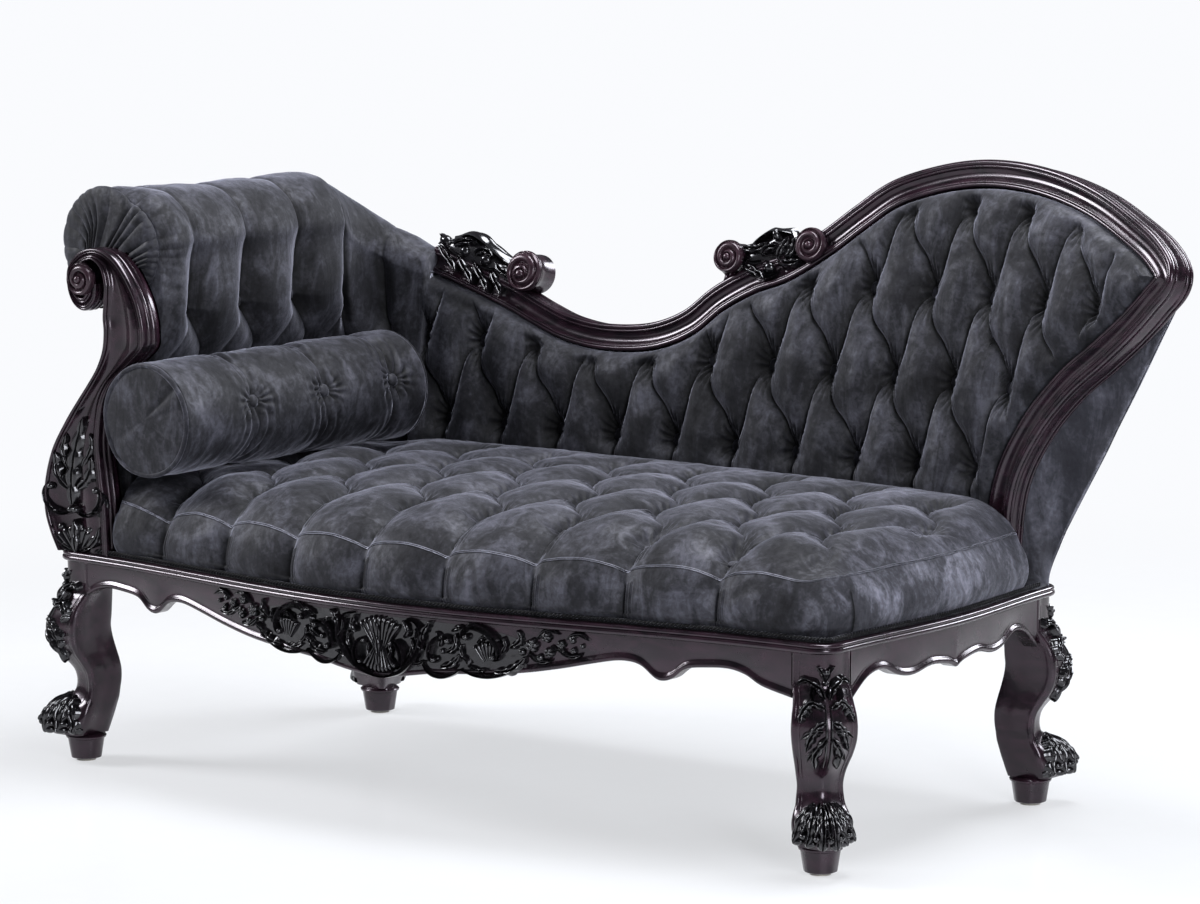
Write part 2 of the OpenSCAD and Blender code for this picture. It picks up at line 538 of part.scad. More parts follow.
// Heights of the two tufts and their thickness, as shares of the band's width and thickness
left_tuft_share = 1.05;
right_tuft_share = 1.2;
tuft_t = band_t * 0.8;
module crest_carving_left() { wood_leaf(0, volute_q(0) - 1, band_w * left_tuft_share, tuft_t); }
module crest_carving_right() {
    wood_leaf(volute_q(1) + volute_room_share, volute_q(2) - volute_room_share,
        band_w * right_tuft_share, tuft_t);
}

// Arm: a section of roll and inside face that turns round the rear corner and dies into the crest
// Thickness of the facing
facing_t = 16;
arm_y = post_y + post_t + facing_t + 2 * soft_gap;
roll_angles = [-55, -28, 0, 28, 56, 84, 112, 140, 168, 190];
// Inside face below the roll: reach and height as shares, on the arm and at the crest
arm_face_shares = [[-1.07, 0.838], [-1.03, 0.758], [-0.88, 0.693], [-0.47, 0.640], [-0.13, 0.576],
    [0.04, 0.495],
    [0.04, 0.394], [-0.05, 0.303], [-0.14, 0.232], [-0.14, 0]];
end_face_shares = [[-0.15, 0.838], [-0.19, 0.758], [-0.23, 0.693], [-0.26, 0.640], [-0.29, 0.576],
    [-0.33, 0.495],
    [-0.35, 0.394], [-0.35, 0.303], [-0.35, 0.232], [-0.35, 0]];
arm_back_shares = [[0.20, 0], [0.24, 0.24], [0.26, 0.40], [0.24, 0.52], [-0.06, 0.62], [-0.40, 0.70],
    [-0.47, 0.80]];
end_back_shares = [[-0.08, 0], [-0.08, 0.24], [-0.08, 0.40], [-0.05, 0.52], [0, 0.62], [0.03, 0.70],
    [0.06, 0.80]];
core_angles = [180, 120, 60, 5, -40];
arm_cap_pairs = [11, 11, 10, 10, 9, 9, 8, 8, 7, 7, 6, 6, 5, 4, 3, 3, 2, 1, 1, 0];
// Share of the tuft's depth that each place round the section takes
arm_tuft_shares = [0, 0, 0.1, 0.22, 0.32, 0.36, 0.4, 0.48, 0.62, 0.85, 1, 0.7, 0.5, 0.35, 0.25, 0.15, 0,
    0, 0, 0];
first_arm_tuft = arm_y + arm_pitch * 0.6;
function roll_at(m) = [lerp(0, roll_r * 0.32, m), lerp(roll_z, shoulder_z, m), lerp(roll_r, shoulder_r, m)];
function core_r(m) = lerp(roll_rail_r, shoulder_r * 0.4, m) + 20 * soft_gap;
function arm_dent(y) = pow(1 - abs(sin(180 * (y - first_arm_tuft) / arm_pitch)), 1.5);
function arm_outer(m, tight, dent) = let (c = roll_at(m), h0 = cap_z + soft_gap) [for (j = [0 : 19])
    let (d = dent * arm_tuft * arm_tuft_shares[j]) j < 10
        ? let (r = c[2] * tight - d, a = roll_angles[j]) [c[0] + r * cos(a), c[1] + r * sin(a)]
        : let (f = arm_face_shares[j - 10], e = end_face_shares[j - 10])
            [roll_r * lerp(f[0], e[0], m) + d, lerp(h0, c[1], f[1])]];
// The pad's rear line keeps clear of the outside cover where the corner turns
pad_clear = 10 * soft_gap;
function arm_inner(s, m) = let (c = roll_at(m), h0 = cap_z + soft_gap, r = core_r(m)) concat(
    [for (j = [0 : 6]) let (v = arm_back_shares[j][1])
        [min(roll_r * lerp(arm_back_shares[j][0], end_back_shares[j][0], m), cover_reach(s, m, v)
            - cover_t - pad_clear), lerp(h0, c[1], v)]],
    [for (a = core_angles) [c[0] + r * cos(a), c[1] + r * sin(a)]]);
arm_cap = [for (j = [0 : 18]) for (f = concat([[j, j + 1, 20 + arm_cap_pairs[j + 1]]],
    arm_cap_pairs[j] > arm_cap_pairs[j + 1] ? [for (k = [arm_cap_pairs[j + 1] : arm_cap_pairs[j] - 1])
        [j, 20 + k, 20 + k + 1]] : [])) f];
// Stations: place in plan, outward direction, share of the change to the crest's section, tightness, dent
arm_steps = floor((turn_y - arm_y) * 4 / arm_pitch);
arm_stops = concat([[arm_y, 0.9], [arm_y + arm_pitch / 12, 0.985]],
    [for (k = [0 : arm_steps]) let (y = first_arm_tuft + (k - 1) * arm_pitch / 4)
        if (y > arm_y + arm_pitch / 8 && y < turn_y - arm_pitch / 8) [y, 1]], [[turn_y, 1]]);
turn_steps = 7;
shoulder_end = -crest_left - soft_gap;
quarter_turn = turn_r * PI / 2;
shoulder_m = quarter_turn / (quarter_turn + shoulder_end - turn_x);
arm_stations = concat(
    [for (s = arm_stops) [[-roll_x, s[0]], [-1, 0], 0, s[1], arm_dent(s[0])
        * ease((s[0] - arm_y) / arm_pitch * 3)]],
    [for (i = [1 : turn_steps]) let (a = 180 - 90 * i / turn_steps) [[turn_x + turn_r * cos(a),
        turn_y + turn_r * sin(a)],
        [cos(a), sin(a)], shoulder_m * i / turn_steps, 1, 0]],
    [for (i = [1 : 2]) [[lerp(turn_x, shoulder_end, i / 2), shoulder_dep], [0, 1], lerp(shoulder_m, 1,
        i / 2), 1, 0]]);
function arm_place(s, p) = [s[0][0] + s[1][0] * p[0], s[0][1] + s[1][1] * p[0], p[1]];
function arm_m(m) = m * 0.5 + 0.5 * ease(m);
module arm_pad() {
    color("#3c3c44") translate(origin) skin([for (s = arm_stations) let (m = arm_m(s[2]))
        [for (p = concat(arm_outer(m, s[3], s[4]), arm_inner(s, m))) arm_place(s, p)]], cap = arm_cap);
}
// Facing that closes the roll's front end behind the post
module roll_facing() {
    color("#34343b") translate(origin) translate([-roll_x, arm_y - soft_gap, roll_z]) rotate([90, 0, 0])
        rotate_extrude($fn = 64)
        polygon([[0, 0], [roll_r * 0.94, 0], [roll_r * 0.98, facing_t * 0.4], [roll_r * 0.9, facing_t
            * 0.8], [roll_r * 0.7, facing_t], [0, facing_t]]);
}
module arm_top_rail() {
    color("#c9ad82") translate(origin) translate([-roll_x, turn_y - soft_gap, roll_z]) rotate([90, 0, 0])
        cylinder(turn_y - soft_gap - arm_y, r = roll_rail_r, $fn = 40);
}
// Bent rail that carries the roll round the corner to the crest
core_sides = 10;
module shoulder_rail() {
    bent = [for (s = arm_stations) if (s[0][1] >= turn_y) s];
    color("#c9ad82") translate(origin) skin([for (s = bent) let (m = arm_m(s[2]), c = roll_at(m),
        r = core_r(m) * 0.8)
        [for (k = [0 : core_sides - 1]) let (a = 360 * k / core_sides) arm_place(s, [c[0] + r * cos(a),
            c[1] + r * sin(a)])]]);
}
// Outside cover of the arm and corner: reach and height shares, on the arm and at the crest
cover_shares = [[0.95, 0], [1.22, 0.18], [1.08, 0.33], [0.78, 0.44], [0.46, 0.51], [0.12, 0.62],
    [-0.06, 0.70], [-0.08, 0.76],
    [0.10, 0.82]];
end_cover_shares = [[0.12, 0], [0.16, 0.18], [0.20, 0.33], [0.24, 0.44], [0.27, 0.51], [0.32, 0.62],
    [0.37, 0.70],
    [0.42, 0.76], [0.46, 0.86]];
function plan_reach(s, m) = s[1][1] <= 0 ? hl - roll_x : let (c = -s[1][0], d = s[1][1])
    1 / sqrt(pow(c / turn_a, 2) + pow(d / turn_b, 2)) - turn_r;
function cover_h(s, m, j) = let (b = plan_reach(s, m) - soft_gap, k = cover_shares[j],
    e = end_cover_shares[j])
    lerp(roll_r * (k[0] - cover_shares[0][0]), roll_r * (e[0] - end_cover_shares[0][0]), m) + b;
// The cover's reach at a share of its height
function cover_reach(s, m, v) = look([for (j = [0 : 8]) [lerp(cover_shares[j][1], end_cover_shares[j][1],
    m), cover_h(s, m, j)]], v);
module outside_arm_cover() {
    function grid(off) = [for (s = arm_stations) let (m = arm_m(s[2]), c = roll_at(m)) [for (j = [0 : 8])
        arm_place(s, [cover_h(s, m, j) - off, lerp(cap_z + soft_gap, c[1], lerp(cover_shares[j][1],
            end_cover_shares[j][1], m))])]];
    color("#34343b") translate(origin) slab(grid(cover_t), grid(0));
}

// Inside back: a tufted pad between the seat and the wood's inner edge, with the same steps front and rear
// The pad is sampled in upright columns, four to a pitch, with its rows on the tufts where they fit
pad_last = wood_n - 1;
pad_edge = [for (i = [0 : pad_last]) wood_pt(i, -band_w / 2 - 4 * soft_gap, 0)];
pad_tip = [for (i = [0 : pad_last]) if (pad_edge[i][0] >= max([for (p = pad_edge) p[0]])) i][0];
pad_top = [for (i = [0 : pad_tip]) pad_edge[i]];
pad_z = cap_z + soft_gap;
pad_x0 = -crest_left + soft_gap;
pad_side = [for (i = [pad_last : -1 : pad_tip]) pad_edge[i]];
pad_rim = back_puff * 0.3;
pad_fade = back_pitch * 0.5;
pad_room = soft_gap * 3;
// Place of one tuft, along the length and up, that the others are counted from
back_tuft_x = head_reach * 0.274;
back_tuft_z = cap_z + back_row * 1.306;
function pillow(a, b) = let (p = abs(sin(180 * a)), q = abs(sin(180 * b))) 0.225 * (p + q) + 0.55 * p * q;
function back_pillow(x, z) = let (u = (x - back_tuft_x) / back_pitch, w = (z - back_tuft_z) / (2 * back_row))
    w < 0 ? 0.35 + 0.65 * abs(sin(180 * u)) - 0.35 * ease(1 + w * 4) * (1 - abs(sin(180 * u)))
        : pillow(u + w, u - w);
function height_on(path, x) = let (p = [for (i = [0 : len(path) - 2])
    if ((path[i][0] - x) * (path[i + 1][0] - x) <= 0 && path[i][0] != path[i + 1][0])
        lerp(path[i][2], path[i + 1][2], (x - path[i][0]) / (path[i + 1][0] - path[i][0]))]) len(p) > 0
            ? p[len(p) - 1] : path[0][2];
pad_x1 = pad_edge[pad_tip][0] - back_pitch / 12;
pad_even = [for (k = [-40 : 40]) let (x = back_tuft_x + k * back_pitch / 4)
    if (x > pad_x0 + back_pitch / 8 && x < pad_x1 - back_pitch / 8) x];
pad_steep = [for (p = pad_side) if (p[2] < back_tuft_z + back_row / 2
    && min([for (x = pad_even) abs(x - p[0])]) > back_pitch / 40) p[0]];
function sorted(v) = len(v) < 2 ? v : let (c = v[0]) concat(sorted([for (i = v) if (i < c) i]),
    [c], sorted([for (i = v) if (i > c) i]));
pad_xs = concat([pad_x0], sorted(concat(pad_even, pad_steep)), [pad_x1]);
function pad_low(x) = x <= pad_side[0][0] ? pad_z : height_on(pad_side, x);
function pad_high(x) = height_on(pad_top, x);
pad_levels = [for (j = [-2 : 6]) back_tuft_z + j * back_row / 2];
pad_m = back_row / 4;
pad_a = back_row / 11;
function pad_kept(low, high) = [for (j = [0 : len(pad_levels) - 1]) if (pad_levels[j] > low + pad_m
    && pad_levels[j] < high - pad_m) j];
function pad_column(x) = let (low = pad_low(x), high = pad_high(x), kept = pad_kept(low, high),
    n = len(pad_levels),
    a = min(pad_a, (high - low) / (n + 4)), j0 = len(kept) > 0 ? kept[0] : 0, j1 = len(kept) > 0
        ? kept[len(kept) - 1] : -1)
    concat([low, low + a], [for (j = [0 : n - 1]) len(kept) == 0 ? lerp(low + a, high - a, (j + 1) / (n + 1))
        : j < j0 ? lerp(low + a, pad_levels[j0], (j + 1) / (j0 + 1))
        : j > j1 ? lerp(pad_levels[j1], high - a, (j - j1) / (n - j1)) : pad_levels[j]], [high - a, high]);
pad_zs = [for (x = pad_xs) pad_column(x)];
function off_line(p, a, b) = let (d = b - a, t = clamp01(((p - a) * d) / max(d * d, soft_gap)))
    norm(p - a - t * d);
pad_edge_flat = [for (p = concat(pad_top, [for (i = [len(pad_side) - 2 : -1 : 0]) pad_side[i]]))
    [p[0], p[2]]];
function pad_in(x, z) = min(x - pad_x0, min([for (i = [0 : len(pad_edge_flat) - 2]) off_line([x, z],
    pad_edge_flat[i], pad_edge_flat[i + 1])]));
function pad_out(x, z) = let (o = back_out(x, z), e = ease((x - pad_x0) / back_pitch))
    unit([o[0] * e, o[1], o[2] * e]);
function pad_depth(x, z) = let (e = ease(max(0, pad_in(x, z)) / pad_fade))
    lerp(pad_rim, back_puff, e) - back_tuft * (1 - back_pillow(x, z)) * e * e;
function pad_pt(x, z, d) = [x, back_y(x, z), z] + d * pad_out(x, z);
module back_pad() {
    m = len(pad_xs) - 1;
    n = len(pad_zs[0]) - 1;
    h = n / 2;
    near = [for (i = [0 : m]) for (j = [0 : n]) let (x = pad_xs[i], z = pad_zs[i][j]) pad_pt(x, z,
        pad_depth(x, z))];
    far = [for (i = [0 : m]) for (j = [0 : h]) pad_pt(pad_xs[i], pad_zs[i][2 * j], pad_room)];
    g = len(near);
    function a(i, j) = i * (n + 1) + j;
    function b(i, j) = g + i * (h + 1) + j;
    deep = [for (i = [0 : m]) for (j = [0 : n]) pad_depth(pad_xs[i], pad_zs[i][j])];
    function edge_depth(i, j, k, l) = (deep[a(i, j)] + deep[a(k, l)]) / 2;
    front = [for (i = [0 : m - 1]) for (j = [0 : n - 1])
        let (c = pad_depth((pad_xs[i] + pad_xs[i + 1]) / 2, (pad_zs[i][j] + pad_zs[i + 1][j + 1]) / 2),
        s = edge_depth(i, j, i + 1, j + 1), t = edge_depth(i, j + 1, i + 1, j))
        for (f = abs(s - c) < abs(t - c) ? [[a(i, j), a(i, j + 1), a(i + 1, j + 1)],
            [a(i, j), a(i + 1, j + 1), a(i + 1, j)]]
        : [[a(i, j), a(i, j + 1), a(i + 1, j)], [a(i, j + 1), a(i + 1, j + 1), a(i + 1, j)]]) f];
    back = [for (i = [0 : m - 1]) for (j = [0 : h - 1])
        for (f = [[b(i + 1, j + 1), b(i, j + 1), b(i, j)], [b(i + 1, j), b(i + 1, j + 1), b(i, j)]]) f];
    low = [for (i = [0 : m - 1]) for (f = [[a(i, 0), a(i + 1, 0), b(i + 1, 0)], [a(i, 0), b(i + 1, 0),
        b(i, 0)]]) f];
    high = [for (i = [0 : m - 1]) for (f = [[a(i + 1, n), a(i, n), b(i + 1, h)], [a(i, n), b(i, h),
        b(i + 1, h)]]) f];
    left = [for (j = [0 : h - 1]) for (f = [[a(0, 2 * j), b(0, j), a(0, 2 * j + 1)], [a(0, 2 * j + 1),
        b(0, j), b(0, j + 1)],
        [a(0, 2 * j + 1), b(0, j + 1), a(0, 2 * j + 2)]]) f];
    right = [for (j = [0 : h - 1]) for (f = [[a(m, 2 * j + 1), b(m, j), a(m, 2 * j)],
        [b(m, j + 1), b(m, j), a(m, 2 * j + 1)],
        [a(m, 2 * j + 2), b(m, j + 1), a(m, 2 * j + 1)]]) f];
    color("#3c3c44") translate(origin) polyhedron(concat(near, far), concat(front, back, low, high, left,
        right), convexity = 8);
}

// Outside back: ruled from the seat frame's rear outline up to the rear of crest and band
tip_i = [for (i = [0 : wood_n - 1]) if (wood_line[i][0] >= max([for (p = wood_line) p[0]])) i][0];
shell_turn_n = 6;
shell_stop = back_dep - back_puff * 1.1;
shell_corner = concat([for (i = [0 : arc_n]) let (a = 90 - 90 * i / arc_n)
    [hl - corner_r + corner_r * cos(a), hd - corner_r + corner_r * sin(a)]],
        [[side_x(shell_stop), shell_stop]]);
function shell_low(i) = i <= tip_i
    ? [lerp(shoulder_end + 2 * soft_gap, hl - corner_r,
        (wood_line[i][0] - wood_line[0][0]) / (wood_line[tip_i][0] - wood_line[0][0])), hd]
    : at(shell_corner, (i - tip_i) / (wood_n - 1 - tip_i));
function shell_in(i) = i <= tip_i ? [0, -1] : let (t = (i - tip_i) / (wood_n - 1 - tip_i)) [-sin(90 * t),
    -cos(90 * t)];
shell_rows = 4;
module outside_back_cover() {
    function edge(i, off) = let (low = shell_low(i) + (soft_gap * 2 + off) * shell_in(i),
        high = wood_pt(i, 0.46 * band_w, -0.57 * band_t - soft_gap - cover_t + off))
        [for (j = [0 : shell_rows]) lerp([low[0], low[1], cap_z + soft_gap], high, j / shell_rows)];
    color("#34343b") translate(origin) slab([for (i = [0 : wood_n - 1]) edge(i, cover_t)],
        [for (i = [0 : wood_n - 1]) edge(i, 0)]);
}

// Seat: a crowned, tufted pad with a drawn-in border, hollow below for the springs
seat_x0 = -roll_x + roll_r * 0.3;
// How far the seat's edge stands in from the rails, and how wide its rounding is
seat_in = 22;
seat_round = 70;
// Place in plan of the first tuft, from the frame's left end and front
seat_first_x = -hl + seat_pitch * 2.52;
seat_first_y = -hd + seat_row * 0.367;
seat_rear = back_dep - back_puff * 1.4;
function seat_side(y) = side_x(y) - seat_in;
function seat_front(x) = let (e = max(0, x - (hl - seat_in - seat_round)) / seat_round)
    front_y(x) + seat_in + seat_round * (1 - sqrt(1 - min(0.98, e * e)));
// Lines of the grid fall on the tufts: four steps to a pitch and three to a row
seat_xs = concat([seat_x0], [for (k = [-20 : 40]) let (x = seat_first_x + k * seat_pitch / 4)
    if (x > seat_x0 + seat_pitch / 6 && x < hl - seat_in - seat_pitch / 6) x], [hl - seat_in]);
seat_ys = [for (k = [0 : 20]) let (y = seat_first_y + k * seat_row / 3)
    if (y < seat_rear - seat_row / 12) y];
seat_nx = len(seat_xs) - 1;
seat_ny = len(seat_ys) + 2;
function seat_x(i, y) = i == seat_nx ? seat_side(y) : seat_xs[i];
function seat_y(j, x) = j == 0 ? seat_front(x) : j == 1 ? lerp(seat_front(x), seat_first_y, 0.45)
    : j == seat_ny ? seat_rear : seat_ys[j - 2];
function seat_pillow(x, y) = let (u = (x - seat_first_x) / seat_pitch, w = (y - seat_first_y) / (2
    * seat_row))
    w < 0 ? 0.2 + 0.8 * abs(sin(180 * u)) - 0.2 * ease(1 + w * 5) * (1 - abs(sin(180 * u)))
        : pillow(u + w, u - w);
function seat_dome(x, y) = seat_crown * (1 - pow(abs(x) / hl, 3)) * (1 - pow(abs(2 * y / frame_dep), 2));
// Room between the bolster and the arm's front post, and between its rear end and the back
bolster_room = 6;
bolster_c = [-roll_x + bolster_r * 1.372, back_dep - back_puff - bolster_room * 2.5 - bolster_len / 2];
bolster_dir = [sin(bolster_turn), cos(bolster_turn)];
function bolster_d(x, y) = abs((x - bolster_c[0]) * bolster_dir[1] - (y - bolster_c[1]) * bolster_dir[0]);
// How far the bolster sinks the seat, and how far the seat falls to its rounded edge
seat_dent = 8;
edge_drop = 16;
function seat_top(x, y) = let (d = bolster_d(x, y) / bolster_r, q = seat_side(y) - x,
    e = ease(min(x - seat_x0, q) / seat_pitch * 1.6),
    f = ease((y - seat_front(x)) / seat_round * 1.2), g = ease((seat_rear - y) / seat_row * 2),
        h = ease(q / seat_round * 1.2))
    seat_edge_z + max(0, seat_dome(x, y)) - seat_dent * exp(-2 * d * d) - edge_drop * (1 - f * h)
    - seat_tuft * (1 - seat_pillow(x, y)) * e * g * (0.3 + 0.7 * f);
// The border below the top: inset of the pad's edge and height, as shares
seat_border_shares = [[-0.62, 0.86], [-0.92, 0.62], [-0.75, 0.28], [-0.25, 0]];
function seat_rim(k) = k < seat_nx ? [k, 0] : k < seat_nx + seat_ny ? [seat_nx, k - seat_nx]
    : k < 2 * seat_nx + seat_ny ? [2 * seat_nx + seat_ny - k, seat_ny] : [0, 2 * (seat_nx + seat_ny) - k];
seat_rim_n = 2 * (seat_nx + seat_ny);
function seat_grid_pt(i, j) = let (x0 = seat_x(i, seat_y(j, seat_xs[i])), y = seat_y(j, x0),
    x = seat_x(i, y)) [x, y, seat_top(x, y)];
function seat_rim_pt(k) = let (g = seat_rim((k + seat_rim_n) % seat_rim_n)) seat_grid_pt(g[0], g[1]);
function seat_rim_in(k) = let (t = seat_rim_pt(k + 1) - seat_rim_pt(k - 1)) unit([-t[1], t[0]]);
function seat_channel(p) = p[1] < seat_first_y ? 1 - abs(sin(180 * (p[0] - seat_first_x) / seat_pitch)) : 0;
function seat_border(k, s) = let (p = seat_rim_pt(k), n = seat_rim_in(k), g = seat_rim(k),
    soft = g[1] == seat_ny || g[0] == 0 ? 0 : 1, d = seat_in * s[0] * soft
        + seat_in * 0.3 * soft * pow(seat_channel(p), 3) * (s[1] > 0 ? 1 : 0))
    [p[0] + n[0] * d, p[1] + n[1] * d, lerp(cap_z + soft_gap, p[2], s[1])];
// How far the spring cavity stands in from the seat's edge
spring_in = 70;
module seat_pad() {
    grid = [for (i = [0 : seat_nx]) for (j = [0 : seat_ny]) seat_grid_pt(i, j)];
    rings = [for (s = seat_border_shares) [for (k = [0 : seat_rim_n - 1]) seat_border(k, s)]];
    low = [for (k = [0 : seat_rim_n - 1]) let (p = seat_rim_pt(k)) [p[0] * (1 - spring_in / hl),
        p[1] * (1 - spring_in / hd), cap_z + soft_gap]];
    high = [for (p = low) [p[0], p[1], cap_z + cavity_h]];
    all = concat(rings, [low, high]);
    g0 = len(grid);
    n = seat_rim_n;
    mid = g0 + len(all) * n;
    function gid(i, j) = i * (seat_ny + 1) + j;
    function ring_id(r, k) = let (q = k % n) r < 0 ? let (g = seat_rim(q)) gid(g[0], g[1]) : g0 + r * n + q;
    top = [for (i = [0 : seat_nx - 1]) for (j = [0 : seat_ny - 1]) let (a = gid(i, j), b = gid(i, j + 1),
        c = gid(i + 1, j + 1), d = gid(i + 1, j))
        for (f = (i + j) % 2 == 0 ? [[a, b, c], [a, c, d]] : [[a, b, d], [b, c, d]]) f];
    wall = [for (r = [-1 : len(all) - 2]) for (k = [0 : n - 1]) let (a = ring_id(r, k), b = ring_id(r,
        k + 1), c = ring_id(r + 1, k + 1), d = ring_id(r + 1, k))
        for (f = [[a, b, c], [a, c, d]]) f];
    under = [for (k = [0 : n - 1]) [ring_id(len(all) - 1, k), ring_id(len(all) - 1, k + 1), mid]];
    color("#3c3c44") translate(origin) polyhedron(concat(grid, [for (r = all) for (p = r) p],
        [[0, 0, cap_z + cavity_h]]), concat(top, wall, under), convexity = 8);
}

// Bolster: lies in the seat's dip against the arm
bolster_sides = 24;
bolster_tuft_angles = [15, 135, 255];
bolster_pitch = bolster_len * 0.287;
// How far the middle tufts lie behind the bolster's middle
bolster_tuft_shift = bolster_len * 0.078;
function bolster_pt(a, s, r) = let (x = cos(a) * r)
    [bolster_c[0] + bolster_dir[1] * x + bolster_dir[0] * s, bolster_c[1] - bolster_dir[0] * x
        + bolster_dir[1] * s, bolster_axis_z + sin(a) * r];
function bolster_dip(a, s) = bolster_tuft * max([for (k = [-1 : 1]) for (b = bolster_tuft_angles)
    let (w = (a - b + 540) % 360 - 180, d = norm([w * bolster_r * PI / 180, s - bolster_tuft_shift - k
        * bolster_pitch]) / bolster_pitch) exp(-14 * d * d)]);
// The lowest height at which the bolster clears every part of the seat's surface below it
bolster_axis_z = max([for (i = [0 : 2 * seat_nx]) for (j = [0 : 2 * seat_ny])
    let (i0 = floor(i / 2), j0 = floor(j / 2), p = (seat_grid_pt(i0, j0) + seat_grid_pt(min(seat_nx,
        i0 + i % 2), min(seat_ny, j0 + j % 2))) / 2,
        q = [p[0] - bolster_c[0], p[1] - bolster_c[1]], d = q[0] * bolster_dir[1] - q[1]
            * bolster_dir[0], s = q * bolster_dir)
    abs(d) < bolster_r && abs(s) < bolster_len / 2
        ? p[2] + sqrt(max(0, pow(bolster_r - bolster_dip(360 - acos(d / bolster_r), s), 2) - d * d)) : 0]);
bolster_end_shares = [[0.90, 1], [0.97, 0.985], [1, 0.96]];
bolster_body_n = 16;
bolster_rings = concat([for (e = bolster_end_shares) [-e[1], e[0]]],
    [for (i = [1 : bolster_body_n - 1]) [2 * 0.96 * i / bolster_body_n - 0.96, 1]],
    [for (i = [2 : -1 : 0]) [bolster_end_shares[i][1], bolster_end_shares[i][0]]]);
module bolster_pad() {
    color("#3c3c44") translate(origin) skin([for (r = bolster_rings)
        [for (k = [bolster_sides - 1 : -1 : 0]) let (a = 360 * k / bolster_sides, s = r[0]
        * bolster_len / 2)
        bolster_pt(a, s, bolster_r * r[1] - bolster_dip(a, s))]]);
}
module along_bolster(s) {
    c = bolster_pt(0, s, 0);
    translate([c[0], c[1], bolster_axis_z]) rotate([0, 0, -bolster_turn]) rotate([-90, 0, 0]) children();
}
module bolster_piping() {
    color("#2c2c32") translate(origin) for (side = [-1, 1]) along_bolster(side * (bolster_len / 2
        + piping_r + soft_gap))
        rotate_extrude($fn = 48) translate([bolster_r * 0.88, 0]) circle(piping_r, $fn = 14);
}
// A covered button: a flat dome, its axis along +Z
module button() {
    cylinder(button_h, button_r, button_r * 0.55, $fn = 28);
}
module point_at(p, d) { translate(p) rotate([0, acos(d[2]), atan2(d[1], d[0])]) children(); }

// Covered buttons, each at the bottom of its tuft
seat_buttons_at = [for (j = [0 : 3]) for (k = [-3 : 8]) let (x = seat_first_x + (k - (j % 2) / 2)
    * seat_pitch, y = seat_first_y + j * seat_row)
    if (x > seat_x0 + seat_pitch * 0.7 && x < seat_side(y) - seat_pitch * 0.7 && y < seat_rear
        - seat_row * 0.4
        && bolster_d(x, y) > bolster_r * 0.75) [x, y, seat_top(x, y)]];
module seat_buttons() { color("#34343b") translate(origin) for (p = seat_buttons_at) translate(p) button(); }
back_buttons_at = [for (j = [0 : 2]) for (k = [-8 : 8]) let (x = back_tuft_x + (k - (j % 2) / 2)
    * back_pitch, z = back_tuft_z + j * back_row)
    if (x > pad_x0 + back_pitch * 0.6 && x < pad_x1 && pad_in(x, z) > back_pitch * 0.4
        && z < pad_high(x) && z > pad_low(x)) [x, z]];
module back_buttons() {
    color("#34343b") translate(origin) for (p = back_buttons_at)
        point_at(pad_pt(p[0], p[1], pad_depth(p[0], p[1])), pad_out(p[0], p[1])) button();
}
arm_buttons_at = [for (k = [0 : 4]) let (y = first_arm_tuft + k * arm_pitch) if (y < turn_y + arm_pitch
    * 0.2) y];
module arm_buttons() {
    f = arm_face_shares[0];
    color("#34343b") translate(origin) for (y = arm_buttons_at)
        point_at([-roll_x - (roll_r * f[0] + arm_tuft), y, lerp(cap_z, roll_z, f[1])], [1, 0, 0]) button();
}
module bolster_buttons() {
    color("#34343b") translate(origin) for (k = [-1 : 1]) for (a = bolster_tuft_angles)
        let (s = bolster_tuft_shift + k * bolster_pitch, p = bolster_pt(a, s, bolster_r - bolster_tuft),
            q = bolster_pt(a, s, bolster_r))
        point_at(p, unit(q - p)) button();
}
// Braid where the seat's border meets the moulding, along the front and round the right side
// Height of the braid
gimp_h = 9;
gimp_stops = [for (i = [2 : front_n + arc_n + side_n - 1]) i];
module seat_gimp() {
    color("#1d1d22") translate(origin) skin([for (i = [len(gimp_stops) - 1 : -1 : 0])
        let (k = gimp_stops[i], a = plan_at(k, -seat_in * 0.2), b = plan_at(k, -seat_in * 0.5),
        c = plan_at(k, -seat_in * 0.66), h = cap_z + soft_gap) [[a[0], a[1], h],
            [a[0], a[1], h + gimp_h * 0.8], [b[0], b[1], h + gimp_h], [c[0], c[1], h]]]);
}

// Inside: battens, webbing, springs, hessian, dust cover, glue blocks, screws and the back's stiles
batten_low = rail_top - rail_h + sheet_t * 3;
module leg_holes() {
    for (k = [0 : 3]) let (c = k < 3 ? [foot_turn[k][0] * (hl - block_w / 2), foot_turn[k][1]
        * (hd - block_w / 2)] : [rear_leg_x + block_w / 2 - foot_in, rear_leg_y + foot_in - block_w / 2])
        translate(c) square(block_w + 4 * wood_gap, center = true);
}
function plan_loop(off) = [for (i = [0 : plan_n - 1]) plan_at(i, off)];
batten_room = rail_t + 3 * wood_gap;
module seat_battens() {
    color("#c9ad82") translate(origin) translate([0, 0, batten_low]) linear_extrude(batten_w) difference() {
        polygon(plan_loop(-batten_room));
        polygon(plan_loop(-batten_room - batten_w));
        leg_holes();
    }
}
module dust_cover() {
    color("#1a1a1c") translate(origin) translate([0, 0, batten_low - wood_gap - sheet_t])
        linear_extrude(sheet_t) difference() {
        polygon(plan_loop(-batten_room));
        leg_holes();
    }
}
spring_x_shares = [-0.64, -0.32, 0, 0.32, 0.64];
spring_y_shares = [-0.6, -0.12, 0.36];
strap_z = batten_low + batten_w + wood_gap;
strap_end = batten_room + batten_w * 0.2;
